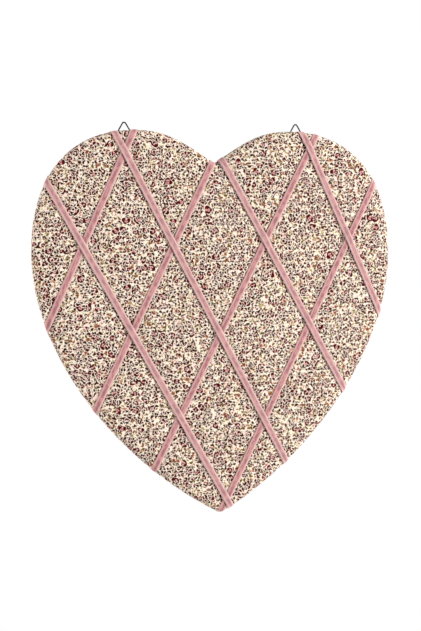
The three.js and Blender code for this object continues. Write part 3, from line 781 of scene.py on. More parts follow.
@dataclass(frozen=True)
class CottonVelvet:
    """Velvet ribbon: a short cut pile between two woven selvedges, its colour holding painted shade.

    The pile shows paler where it leans away and catches more light down the board than up it. This is
    painted shade: the two sets of ribbons get lighter and darker copies of the same colours. Lengths are in
    millimetres. The bands are the selvedges' widths and the fades where they thin out into the pile; the
    right band is paler and wider, a painted highlight on the side that the key lamp lights. Crush is the
    size across and along of the places where the pile is pressed, ragged that of the waves of a selvedge's
    edge, and tuft that of the pile's tufts, drawn coarse so that they show.
    """

    nap: NapShade
    pile: str
    shade: str
    selvedge: str
    selvedge_highlight: str
    left_band: float
    right_band: float
    width: float = 7
    left_fade: float = 1.1
    right_fade: tuple[float, float] = (-0.2, 1.0)
    crush: tuple[float, float] = (2.381, 6.25)
    ragged: float = 1.4286
    ragged_by: float = 0.6
    tuft: float = 0.7692
    tuft_relief: float = 0.25

    def build(self) -> Material:
        """Makes the material from the ribbon's own UV map: u across and v along, in millimetres.

        Returns:
            The material.
        """
        values = {"Roughness": 0.95, "Specular IOR Level": 0.12, "Sheen Weight": 0.22}
        values |= {"Sheen Roughness": 0.45, "Sheen Tint": linear("#f3cfca")}
        material, tree, shader = new_surface(f"cotton_velvet_painted_shade_nap_{self.nap.value}", values)
        uv = add_node(tree, "UVMap", uv_map=VelvetLattice.UV_NAME)
        ribbon = add_node(tree, "VectorMath", {0: uv, 3: VelvetLattice.UV_SPAN}, operation="SCALE")
        parts = add_node(tree, "SeparateXYZ", {0: ribbon})
        across, along = self.crush
        crush = add_node(tree, "Mapping", {"Vector": ribbon, "Scale": (1 / across, 1 / along, 1)})
        pressed = {"Vector": crush, "Scale": 1.0, "Detail": 2.0}
        marks = add_node(tree, "TexNoise", pressed, noise_dimensions="2D")
        depth = add_node(tree, "MapRange", {0: marks, 1: 0.4, 2: 0.6, 3: 0.0, 4: 1.0})
        pile = {0: depth, 6: linear(self.shade), 7: linear(self.pile)}
        colour = add_node(tree, "Mix", pile, data_type="RGBA")
        waves = {"Vector": ribbon, "Scale": 1 / self.ragged, "Detail": 2.0}
        ragged = add_node(tree, "TexNoise", waves, noise_dimensions="2D")
        moved = {0: ragged, 1: self.ragged_by, 2: parts.outputs[0]}
        sway = add_node(tree, "Math", moved, operation="MULTIPLY_ADD")
        edge = self.width - self.right_band
        bands = [
            (self.left_band + self.left_fade, self.left_band, self.selvedge),
            # The right band is the selvedge with a painted highlight on the side that the key lamp lights
            (edge + self.right_fade[0], edge + self.right_fade[1], self.selvedge_highlight),
        ]
        for bare, full, woven in bands:
            band = add_node(tree, "MapRange", {0: sway, 1: bare, 2: full, 3: 0.0, 4: 1.0})
            laid = {0: band, 6: colour.outputs[2], 7: linear(woven)}
            colour = add_node(tree, "Mix", laid, data_type="RGBA")
        tree.links.new(colour.outputs[2], shader.inputs["Base Color"])
        napped = {"Vector": ribbon, "Scale": 1 / self.tuft, "Detail": 3.0}
        tufts = add_node(tree, "TexNoise", napped, noise_dimensions="2D")
        relief = {"Height": tufts, "Distance": self.tuft_relief * MM, "Strength": 0.7}
        bump = add_node(tree, "Bump", relief)
        tree.links.new(bump.outputs[0], shader.inputs["Normal"])
        return material


@dataclass(frozen=True)
class GrainedFinish:
    """A plain material with a fine even grain, for card, fibreboard and wadding.

    Grain is the size of its specks in millimetres, drawn a little coarse so that they show, relief their
    height, and cloud_share the grain as a share of the slow clouds' size.
    """

    name: str
    light: str
    dark: str
    roughness: float
    grain: float
    relief: float
    cloud_share: float = 0.08

    def build(self) -> Material:
        """Makes the material on Object coordinates.

        Returns:
            The material.
        """
        material, tree, shader = new_surface(self.name, {"Roughness": self.roughness})
        place = add_node(tree, "TexCoord").outputs["Object"]
        fine = 1 / (self.grain * MM)
        specks = add_node(tree, "TexNoise", {"Vector": place, "Scale": fine, "Detail": 4.0})
        slow = {"Vector": place, "Scale": self.cloud_share * fine, "Detail": 2.0}
        clouds = add_node(tree, "TexNoise", slow)
        mixed = add_node(tree, "Math", {0: specks, 1: clouds}, operation="ADD")
        share = add_node(tree, "MapRange", {0: mixed, 1: 0.75, 2: 1.25, 3: 0.0, 4: 1.0})
        shades = {0: share, 6: linear(self.dark), 7: linear(self.light)}
        colour = add_node(tree, "Mix", shades, data_type="RGBA")
        tree.links.new(colour.outputs[2], shader.inputs["Base Color"])
        bump = add_node(tree, "Bump", {"Height": specks, "Distance": self.relief * MM, "Strength": 0.6})
        tree.links.new(bump.outputs[0], shader.inputs["Normal"])
        return material


@dataclass(frozen=True)
class MetalFinish:
    """Drawn or plated steel: bare metal whose gloss wanders with fine draw marks and handling.

    Marks is the size of the marks in millimetres, relief their height, and gloss_spread how far the
    roughness wanders to either side.
    """

    name: str
    colour: str
    tarnish: str
    roughness: float
    marks: float
    relief: float = 0.02
    gloss_spread: tuple[float, float] = (-0.07, 0.1)

    def build(self) -> Material:
        """Makes the material on Object coordinates.

        Returns:
            The material.
        """
        material, tree, shader = new_surface(self.name, {"Metallic": 1.0})
        place = add_node(tree, "TexCoord").outputs["Object"]
        worn = {"Vector": place, "Scale": 1 / (self.marks * MM), "Detail": 3.0}
        marks = add_node(tree, "TexNoise", worn)
        shades = {0: marks, 6: linear(self.colour), 7: linear(self.tarnish)}
        colour = add_node(tree, "Mix", shades, data_type="RGBA")
        tree.links.new(colour.outputs[2], shader.inputs["Base Color"])
        smooth, rough = (self.roughness + part for part in self.gloss_spread)
        gloss = add_node(tree, "MapRange", {0: marks, 1: 0.3, 2: 0.7, 3: smooth, 4: rough})
        tree.links.new(gloss.outputs[0], shader.inputs["Roughness"])
        bump = add_node(tree, "Bump", {"Height": marks, "Distance": self.relief * MM, "Strength": 0.5})
        tree.links.new(bump.outputs[0], shader.inputs["Normal"])
        return material


@dataclass
class PrintedCover:
    """The printed cotton, pulled over the padding and turned in behind, as one open layer.

    Lengths are in millimetres. Margin is what is turned in behind. Puff is how high the cloth rises where
    nothing holds it down, and reach over what way. The holds are how far beside the edge and the ribbons
    it still lies flat, and cell is the grid on which its height is worked out.
    """

    UV_NAME = "Cloth"
    UV_SPAN = 500.0

    outline: HeartOutline
    face: PaddedFace
    lines: list[RibbonLine]
    ribbon_width: float = 7
    margin: float = 25
    puff: float = 1.1
    reach: float = 12
    edge_hold: float = 1.5
    ribbon_hold: float = 0.9
    cell: float = 1.25
    around: int = 720
    shoulder_steps: int = 9
    wall_steps: int = 4
    corner_steps: int = 4
    margin_steps: int = 6
    front_steps: int = 92
    relax_steps: int = 260
    puff_grid: Array = field(init=False)

    def __post_init__(self) -> None:
        """Relaxes the cloth between the ribbons."""
        self.puff_grid = self._relaxed()

    def _relaxed(self) -> Array:
        """Height of the cloth between the ribbons that hold it down, on an even grid.

        The cloth is a stretched skin on a springy bed: each cell goes to the mean of its four
        neighbours, drawn towards the full puff by the squared ratio of the cell to the reach, and it
        stays at nought under the ribbons and along the edge.

        Returns:
            The heights in millimetres by x and z, the board's middle in the middle.
        """
        half = np.array([self.outline.width, self.outline.height]) / 2
        columns, rows = (2 * np.ceil(half / self.cell) + 1).astype(int)
        x = (np.arange(columns) - columns // 2) * self.cell
        z = (np.arange(rows) - rows // 2) * self.cell
        places = np.stack(np.meshgrid(x, z, indexing="ij"), axis=-1)
        inset, _ = self.outline.nearest(places)
        free = inset > self.edge_hold
        for line in self.lines:
            away = np.abs((places - line.origin) @ line.across)
            free &= away > self.ribbon_width / 2 + self.ribbon_hold
        height = np.zeros(free.shape)
        pull = (self.cell / self.reach) ** 2
        for _ in range(self.relax_steps):
            around = height[:-2, 1:-1] + height[2:, 1:-1] + height[1:-1, :-2] + height[1:-1, 2:]
            relaxed = (around + pull * self.puff) / (4 + pull)
            height[1:-1, 1:-1] = np.where(free[1:-1, 1:-1], relaxed, 0)
        return height

    def puff_at(self, places: Array) -> Array:
        """The relaxed height at any places, straight between the grid's cells.

        Args:
            places: (x, z) last, in millimetres.

        Returns:
            The heights in millimetres.
        """
        size = np.array(self.puff_grid.shape)
        # Held a little before the last line of the grid, so that each spot has a next cell
        spot = np.clip(places / self.cell + size // 2, 0, size - 1.001)
        low = spot.astype(int)
        part = spot - low
        a, b = low[..., 0], low[..., 1]
        s, t = part[..., 0], part[..., 1]
        grid = self.puff_grid
        near = grid[a, b] * (1 - s) + grid[a + 1, b] * s
        far = grid[a, b + 1] * (1 - s) + grid[a + 1, b + 1] * s
        return near * (1 - t) + far * t

    def _edge_stations(self) -> list[tuple[float, float, float, float]]:
        """Stations of the edge from the margin to the shoulder's end.

        Travel is the length of cloth from the shoulder's end, and lean the angle of the cloth's outward
        direction from the back towards the front, by which a puff is split between out and forward.

        Returns:
            Inset, level, travel and lean of each station.
        """
        face = self.face
        turn = face.rear_radius * math.pi / 2
        wall_end = face.radius * face.sweep
        corner_end = wall_end + face.wall_height
        stations = []
        for k in range(self.margin_steps, 0, -1):
            part = (self.margin - face.rear_radius) * k / self.margin_steps
            travel = corner_end + turn + part
            stations.append((face.rear_radius + part, face.cover_rear_y, travel, -math.pi / 2))
        for k in range(self.corner_steps, 0, -1):
            angle = math.pi / 2 * k / self.corner_steps
            inset, level = face.on_rear_corner(angle, 0)
            stations.append((inset, level, corner_end + face.rear_radius * angle, -angle))
        for k in range(self.wall_steps, 0, -1):
            part = face.wall_height * k / self.wall_steps
            stations.append((0, face.core_front_y + part, wall_end + part, 0))
        for k in range(self.shoulder_steps + 1):
            angle = face.sweep * k / self.shoulder_steps
            inset, level = face.on_shoulder(angle, 0)
            stations.append((inset, level, face.radius * (face.sweep - angle), angle))
        return stations

    def surface(self, lift: float) -> tuple[Array, Array]:
        """The cloth's face as rows of equally many corners, from the margin's end to the front's middle.

        On the edge a corner is the outline moved in along its normal. On the front each row is the
        shoulder's last row scaled towards the middle, at the crown's level plus the puff.

        Args:
            lift: how far the whole face is moved out, below 0 for what lies under the cloth.

        Returns:
            The corners in millimetres by row, and the flat cut's (x, z) for each.
        """
        rows, flats = [], []
        start, normals = self.outline.loop(self.around, self.face.inset)
        for inset, level, travel, lean in self._edge_stations():
            ring, _ = self.outline.loop(self.around, inset)
            height = self.puff_at(ring) + lift
            out = ring + normals * (height * math.cos(lean))[:, None]
            rows.append(np.stack([out[:, 0], level - height * math.sin(lean), out[:, 1]], axis=1))
            flats.append(start + normals * travel)
        shares = 1 - np.arange(1, self.front_steps) / self.front_steps
        places = shares[:, None, None] * start
        inset, _ = self.outline.nearest(places)
        level = self.face.crown_y(inset) - self.puff_at(places) - lift
        rows.extend(np.stack([places[..., 0], level, places[..., 1]], axis=-1))
        flats.extend(places)
        return np.array(rows), np.array(flats)

    def build(self, finish: Material) -> Piece:
        """Args:
            finish: the printed cotton.

        Returns:
            The cover's object.
        """
        rows, flats = self.surface(0)
        count = rows.shape[0] * rows.shape[1]
        middle = rows[-1].mean(axis=0)
        points = np.concatenate([rows.reshape(-1, 3), middle[None]])
        flat = np.concatenate([flats.reshape(-1, 2), [[0, 0]]])
        last = np.arange(count - self.around, count)
        faces = [grid_faces(rows.shape[0], self.around, True), fan_faces(last, count)]
        uv = (self.UV_NAME, flat / self.UV_SPAN + 0.5)
        piece = make_piece("cotton_cover", points, faces, finish, uv)
        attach(piece, "board")
        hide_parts("printed_cover")
        return piece


@dataclass
class WaddingBatt:
    """The polyester batt between the hardboard and the cloth, rounded over the board's edge."""

    cover: PrintedCover
    cloth_gap: float = 0.9
    thin: int = 3

    def build(self, finish: Material) -> Piece:
        """Makes the batt: the cloth's own face moved in, from the shoulder's foot on, over a flat back.

        Args:
            finish: the wadding's material.

        Returns:
            The batt's object.
        """
        rows, _ = self.cover.surface(-self.cloth_gap)
        first = len(rows) - self.cover.front_steps - self.cover.shoulder_steps
        kept = rows[first :: self.thin, :: self.thin]
        foot = kept[0].copy()
        foot[:, 1] = self.cover.face.core_front_y
        rings = np.concatenate([foot[None], kept])
        hubs = np.array([[0, self.cover.face.core_front_y, 0], rings[-1].mean(axis=0)])
        piece = make_piece("wadding_batt", *closed_tube(rings, hubs), finish)
        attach(piece, "board")
        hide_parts("wadding_pad")
        return piece


@dataclass
class VelvetLattice:
    """Eight velvet ribbons: four that rise, and four that fall over them, all turned in behind the board.

    Lengths are in millimetres. The seats are the heights of the ribbons' undersides over the cloth, dome
    is how much higher the pile is along the middle, pressed the share of a ribbon's height that is left
    on the wall, and tail the length behind. At a crossing a ribbon is raised by hump_lift, level for
    hump_margin past the other's edges, over a ramp of hump_ramp. The probe and the walk are the lengths
    along a line at which the outline is looked for, and in finer steps near its ends.
    """

    UV_NAME = "Ribbon"
    UV_SPAN = 600.0

    outline: HeartOutline
    face: PaddedFace
    level_share: float = -0.0175
    falling_shares: tuple[float, ...] = (-0.474, 0, 0.541, 0.989)
    falling_leans: tuple[float, ...] = (-1.136, -1.071, -1.138, -0.953)
    falling_tails: tuple[float, ...] = (-30, 0, 0, 0)
    rising_shares: tuple[float, ...] = (-0.954, -0.48, 0.02, 0.513)
    rising_leans: tuple[float, ...] = (0.995, 1.068, 1.103, 1.07)
    rising_tails: tuple[float, ...] = (0, 0, 0, 15)
    width: float = 7
    thickness: float = 0.8
    rising_seat: float = 0.12
    falling_seat: float = 0.45
    dome: float = 0.3
    pressed: float = 0.5
    tail: float = 20
    hump_margin: float = 0.6
    hump_ramp: float = 6
    hump_lift: float = 1.1
    section_points: int = 24
    side_power: float = 0.45
    top_power: float = 0.6
    probe_reach: float = 450
    probe_step: float = 0.5
    walk_span: tuple[float, float] = (-12, 24)
    walk_step: float = 0.1
    front_stations: int = 260
    shoulder_stations: int = 9
    wall_stations: int = 3
    corner_stations: int = 5
    tail_stations: int = 5
    falling: list[RibbonLine] = field(init=False)
    rising: list[RibbonLine] = field(init=False)

    def __post_init__(self) -> None:
        """Lays out the centre lines."""
        self.falling = self._lines("fall", self.falling_shares, self.falling_leans, self.falling_tails)
        self.rising = self._lines("rise", self.rising_shares, self.rising_leans, self.rising_tails)

    def _lines(self, name: str, shares: tuple, leans: tuple, tails: tuple) -> list[RibbonLine]:
        """Lays out one set of centre lines.

        Args:
            name: the set's name.
            shares: places across the board, in half widths.
            leans: how far each runs across over one height of the board, in half widths.
            tails: how far each lower tail is turned, in degrees.

        Returns:
            The lines, from left to right.
        """
        half = self.outline.width / 2
        level = self.outline.height * self.level_share
        lines = []
        for number, (share, lean, tail) in enumerate(zip(shares, leans, tails), start=1):
            way = np.array([lean * half, self.outline.height])
            origin = np.array([share * half, level])
            turns = (math.radians(tail), 0.0)
            lines.append(RibbonLine(f"{name}_{number}", origin, way / np.linalg.norm(way), turns))
        return lines

    def section(self, seat: float) -> tuple[Array, Array]:
        """The ribbon's cross-section.

        It is a rounded box, the cosine and sine of a full turn drawn out by powers, with a domed top.

        Args:
            seat: height of its underside over the cloth.

        Returns:
            The corners' places across the ribbon and heights over the cloth.
        """
        angle = np.arange(self.section_points) * math.tau / self.section_points
        across = np.sign(np.cos(angle)) * np.abs(np.cos(angle)) ** self.side_power * self.width / 2
        share = (np.sign(np.sin(angle)) * np.abs(np.sin(angle)) ** self.top_power + 1) / 2
        top = self.thickness + self.dome * (1 - (across / (self.width / 2)) ** 2)
        return across, seat + share * top

    def _ends(self, line: RibbonLine, shift: Array) -> Array:
        """Where lines beside the centre line cross the outline, straight between two probed lengths.

        Args:
            line: the centre line.
            shift: ways across from it.

        Returns:
            The lowest and the highest length, one row for each shift.
        """
        length = np.arange(-self.probe_reach, self.probe_reach, self.probe_step)
        inset, _ = self.outline.nearest(line.place(length[None, :], shift[:, None]))
        ends = np.empty((len(shift), 2))
        for row, values in enumerate(inset):
            inside = np.nonzero(values > 0)[0]
            pairs = [(inside[0], inside[0] - 1), (inside[-1], inside[-1] + 1)]
            for side, (near, far) in enumerate(pairs):
                part = values[near] / (values[near] - values[far])
                ends[row, side] = length[near] + part * (length[far] - length[near])
        return ends

    def _walk(self, line: RibbonLine, shift: float, end: float, inward: int) -> tuple[Array, Array]:
        """Insets along one line near one end, to look up a length by its inset.

        Args:
            line: the centre line.
            shift: the way across from it.
            end: the length at which it crosses the outline.
            inward: 1 at the lower end, -1 at the upper one.

        Returns:
            The insets, which never fall, and their lengths.
        """
        length = end + inward * np.arange(*self.walk_span, self.walk_step)
        inset, _ = self.outline.nearest(line.place(length, np.full(len(length), shift)))
        return np.maximum.accumulate(inset), length

    def _crossings(self, line: RibbonLine, shift: float, others: list[RibbonLine]) -> Crossings:
        """Where one line passes over other ribbons.

        Args:
            line: the centre line.
            shift: the way across from it.
            others: the ribbons below.

        Returns:
            For each crossing on the board its length, and half the level stretch.
        """
        origin = line.place(np.array(0.0), np.array(shift))
        found = []
        for other in others:
            turn = float(cross(line.along, other.along))
            at = float(cross(other.origin - origin, other.along)) / turn
            inset, _ = self.outline.nearest(line.place(np.array([at]), np.array([shift])))
            if inset[0] > 0:
                found.append((at, self.width / 2 / abs(turn) + self.hump_margin))
        return found

    def _lift(self, length: Array, crossings: Crossings) -> Array:
        """How far the ribbon is raised: a soft ramp up to each crossing's level stretch.

        Args:
            length: lengths along the ribbon.
            crossings: the crossings' lengths and half stretches.

        Returns:
            The lifts in millimetres.
        """
        lift = np.zeros_like(length)
        for at, flat in crossings:
            lift = np.maximum(lift, smooth_step(1 - (np.abs(length - at) - flat) / self.hump_ramp))
        return self.hump_lift * lift

    def _end_points(
        self,
        line: RibbonLine,
        shift: float,
        height: float,
        walk: tuple[Array, Array],
        drift: float,
        crossings: Crossings,
    ) -> Array:
        """One thread of a ribbon end, from the rear corner up to the end of the shoulder.

        Behind the shoulder the thread slides along the outline by a steady share of its travel down the
        wall. On the shoulder it stays over its straight line as seen from the front. The ribbon is pulled
        into the padding on the wall, where its height falls to the pressed share.

        Args:
            line: the centre line.
            shift: the thread's way across from it.
            height: the thread's height over the cloth.
            walk: insets and lengths near this end.
            drift: the slide along the outline for each millimetre of travel.
            crossings: the crossings' lengths and half stretches.

        Returns:
            The points in millimetres.
        """
        face = self.face
        end = np.interp(0, *walk)
        run = self.outline.nearest(line.place(np.array([end]), np.array([shift])))[1][0]
        angles = np.linspace(math.pi / 2, 0, self.corner_stations + 1)
        flattened = self.pressed + (1 - self.pressed) * smooth_step(angles / (math.pi / 2))
        corner_inset, corner_level = face.on_rear_corner(angles, height * flattened)
        steps = np.arange(self.wall_stations - 1, 0, -1) / self.wall_stations
        wall_level = face.core_front_y + face.wall_height * steps
        insets = np.concatenate([corner_inset, np.full(len(steps) + 1, -height * self.pressed)])
        levels = np.concatenate([corner_level, wall_level, [face.core_front_y]])
        travel = np.concatenate(
            [face.wall_height + face.rear_radius * angles, face.wall_height * steps, [0]]
        )
        points, normals = self.outline.at(run + drift * travel)
        place = points - normals * insets[:, None]
        behind = np.stack([place[:, 0], levels, place[:, 1]], axis=1)
        angles = face.sweep * np.arange(1, self.shoulder_stations + 1) / self.shoulder_stations
        flattened = self.pressed + (1 - self.pressed) * smooth_step(angles / face.sweep)
        flush, _ = face.on_shoulder(angles, height * flattened)
        lift = self._lift(np.interp(flush, *walk), crossings)
        inset, level = face.on_shoulder(angles, height * flattened + lift)
        length = np.interp(inset, *walk)
        place = line.place(length, np.full(len(length), shift))
        shoulder = np.stack([place[:, 0], level, place[:, 1]], axis=1)
        return np.concatenate([behind, shoulder])

    def _front_points(
        self,
        line: RibbonLine,
        shift: float,
        height: float,
        walks: list[tuple[Array, Array]],
        crossings: Crossings,
    ) -> Array:
        """One thread on the front, at the crown's level plus its height and the humps' lift.

        Args:
            line: the centre line.
            shift: the thread's way across from it.
            height: the thread's height over the cloth.
            walks: insets and lengths near the lower and the upper end.
            crossings: the crossings' lengths and half stretches.

        Returns:
            The points in millimetres.
        """
        start, _ = self.face.on_shoulder(self.face.sweep, height)
        low, high = (np.interp(start, *walk) for walk in walks)
        length = np.linspace(low, high, self.front_stations + 2)[1:-1]
        place = line.place(length, np.full(len(length), shift))
        inset, _ = self.outline.nearest(place)
        level = self.face.crown_y(inset) - height - self._lift(length, crossings)
        return np.stack([place[:, 0], level, place[:, 1]], axis=1)

    def _wrap(self, line: RibbonLine, end: float, side: int) -> tuple[float, Array]:
        """How the ribbon leaves the front at one end.

        The tail is the leaving direction mirrored in the edge, then turned by the line's tail turn.

        Args:
            line: the centre line.
            end: the length at which it crosses the outline.
            side: 0 at the lower end, 1 at the upper one.

        Returns:
            The drift along the edge for each millimetre down it, and the tail's direction.
        """
        run = self.outline.nearest(line.place(np.array([end]), np.array([0.0])))[1]
        normal = self.outline.at(run)[1][0]
        leaving = line.along * (1 if side else -1)
        ahead = np.array([normal[1], -normal[0]])
        mirrored = leaving - 2 * (leaving @ normal) * normal
        turn = line.tail_turns[side]
        spin = np.array([[math.cos(turn), -math.sin(turn)], [math.sin(turn), math.cos(turn)]])
        return float(leaving @ ahead / (leaving @ normal)), spin @ mirrored

    def _tail_points(self, corner: Array, way: Array, across: Array) -> Array:
        """A flat square-cut tail from the section at the rear corner.

        Args:
            corner: the section's points at the rear corner.
            way: the tail's direction, as (x, z).
            across: the section's places across the ribbon.

        Returns:
            The points by row, from the cut end inwards.
        """
        seen = corner[:, [0, 2]]
        middle = seen.mean(axis=0)
        square = np.array([way[1], -way[0]])
        if square @ (seen[0] - seen[len(seen) // 2]) < 0:
            square = -square
        target = middle + way * self.tail + across[:, None] * square
        shares = np.linspace(1, 0, self.tail_stations + 1)[:-1]
        flat = seen * (1 - shares[:, None, None]) + target * shares[:, None, None]
        level = np.broadcast_to(corner[:, 1], flat.shape[:-1])
        return np.stack([flat[..., 0], level, flat[..., 1]], axis=-1)

    def build_ribbon(self, line: RibbonLine, others: list[RibbonLine], finish: Material) -> Piece:
        """Makes one ribbon from tail to tail.

        Args:
            line: its centre line.
            others: the ribbons that it passes over.
            finish: its velvet.

        Returns:
            The ribbon's object.
        """
        across, height = self.section(self.falling_seat if others else self.rising_seat)
        centre_ends = self._ends(line, np.array([0.0]))[0]
        drifts, tails = zip(*(self._wrap(line, centre_ends[side], side) for side in (0, 1)))
        threads = []
        for shift, tall, ends in zip(across, height, self._ends(line, across)):
            crossings = self._crossings(line, float(shift), others)
            walks = [self._walk(line, shift, ends[0], 1), self._walk(line, shift, ends[1], -1)]
            first, last = (
                self._end_points(line, shift, tall, walk, drift, crossings)
                for walk, drift in zip(walks, drifts)
            )
            front = self._front_points(line, shift, tall, walks, crossings)
            threads.append(np.concatenate([first, front, last[::-1]]))
        rows = np.stack(threads, axis=1)
        lower = self._tail_points(rows[0], tails[0], across)
        upper = self._tail_points(rows[-1], tails[1], across)
        rows = np.concatenate([lower, rows, upper[::-1]])
        points, faces = closed_tube(rows, rows[[0, -1]].mean(axis=1))
        travel = np.linalg.norm(np.diff(rows.mean(axis=1), axis=0), axis=1)
        along = np.concatenate([[0], np.cumsum(travel)])
        u = np.tile(across + self.width / 2, rows.shape[0])
        flat = np.stack([u, np.repeat(along, len(across))], axis=1)
        flat = np.concatenate([flat, [[self.width / 2, 0], [self.width / 2, along[-1]]]])
        uv = (self.UV_NAME, flat / self.UV_SPAN)
        piece = make_piece(f"velvet_{line.name}", points, faces, finish, uv)
        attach(piece, "board")
        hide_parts(f"ribbon_{line.name}")
        return piece

    def build(self, finishes: dict[NapShade, Material]) -> list[Piece]:
        """Makes all the ribbons, the falling ones over the rising ones.

        Args:
            finishes: the velvets by the way their pile leans.

        Returns:
            The ribbons' objects.
        """
        rising = [self.build_ribbon(line, [], finishes[NapShade.UP]) for line in self.rising]
        falling = [self.build_ribbon(line, self.rising, finishes[NapShade.DOWN]) for line in self.falling]
        return rising + falling


@dataclass
class WireRing:
    """One triangular hanger ring of round wire, standing on the bar that its strap holds.

    Lengths are in millimetres. Split is the gap in the bar between the wire's full ends, which narrow to
    the cut_radius over a further cut_reach. Cad_sides is the number of sides of the CAD wire's section,
    on one of whose flats the bar lies.
    """

    side: str
    side_length: float = 20.5
    corner: float = 2
    wire: float = 1.5
    split: float = 0.8
    corner_steps: int = 12
    sides: int = 20
    cad_sides: int = 8
    cut_reach: float = 0.08
    cut_radius: float = 0.5

    def path(self) -> tuple[Array, Array]:
        """The wire's middle line, from one cut end of the bar round to the other.

        Returns:
            The points in the ring's plane, and the angle of the wire's direction at each.
        """
        turn = math.tau / 3
        reach = self.side_length / 2 - self.corner * math.tan(turn / 2)
        centres = [
            (reach, self.corner),
            (0, self.side_length * math.sin(turn) - 2 * self.corner),
            (-reach, self.corner),
        ]
        places, angles = [(self.split / 2, 0)], [0.0]
        for number, (x, z) in enumerate(centres):
            for step in range(self.corner_steps + 1):
                angle = turn * (number + step / self.corner_steps)
                places.append((x + self.corner * math.sin(angle), z - self.corner * math.cos(angle)))
                angles.append(angle)
        places.append((-self.split / 2, 0))
        angles.append(math.tau)
        return np.array(places), np.array(angles)

    def build(self, finish: Material) -> Piece:
        """Makes the ring: a circle carried along the path, drawn in at both cut ends.

        Args:
            finish: the wire's material.

        Returns:
            The ring's object.
        """
        low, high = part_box(f"hanger_ring_{self.side}")
        middle = (low.x + high.x) / 2 / MM
        bar_y = (low.y + high.y) / 2 / MM
        bar_z = low.z / MM + self.wire / 2 * math.cos(math.pi / self.cad_sides)
        places, angles = self.path()
        radii = np.full(len(places), self.wire / 2)
        cut = np.array([[self.cut_reach, 0]])
        places = np.concatenate([places[:1] - cut, places, places[-1:] + cut])
        angles = np.concatenate([angles[:1], angles, angles[-1:]])
        radii = np.concatenate([[self.cut_radius], radii, [self.cut_radius]])
        turn = np.arange(self.sides) * math.tau / self.sides
        side = np.stack([np.sin(angles), -np.cos(angles)], axis=1)
        out = radii[:, None] * np.cos(turn)
        rows = np.stack(
            [
                middle + places[:, :1] + side[:, :1] * out,
                bar_y + radii[:, None] * np.sin(turn),
                bar_z + places[:, 1:] + side[:, 1:] * out,
            ],
            axis=-1,
        )
        points, faces = closed_tube(rows, rows[[0, -1]].mean(axis=1))
        piece = make_piece(f"wire_ring_{self.side}", points, faces, finish)
        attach(piece, f"ring_{self.side}")
        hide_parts(f"hanger_ring_{self.side}")
        return piece


@dataclass(frozen=True)
class Lamp:
    """A square soft lamp that faces the board's middle, in metres and watts."""

    name: str
    place: tuple[float, float, float]
    size: float
    power: float

    def build(self) -> Piece:
        """Makes the lamp.

        Returns:
            The lamp's object.
        """
        data = bpy.data.lights.new(self.name, "AREA")
        data.size = self.size
        data.energy = self.power
        lamp = bpy.data.objects.new(self.name, data)
        spot = Vector(self.place)
        lamp.matrix_world = Matrix.Translation(spot) @ spot.to_track_quat("Z", "Y").to_matrix().to_4x4()
        bpy.context.scene.collection.objects.link(lamp)
        return lamp


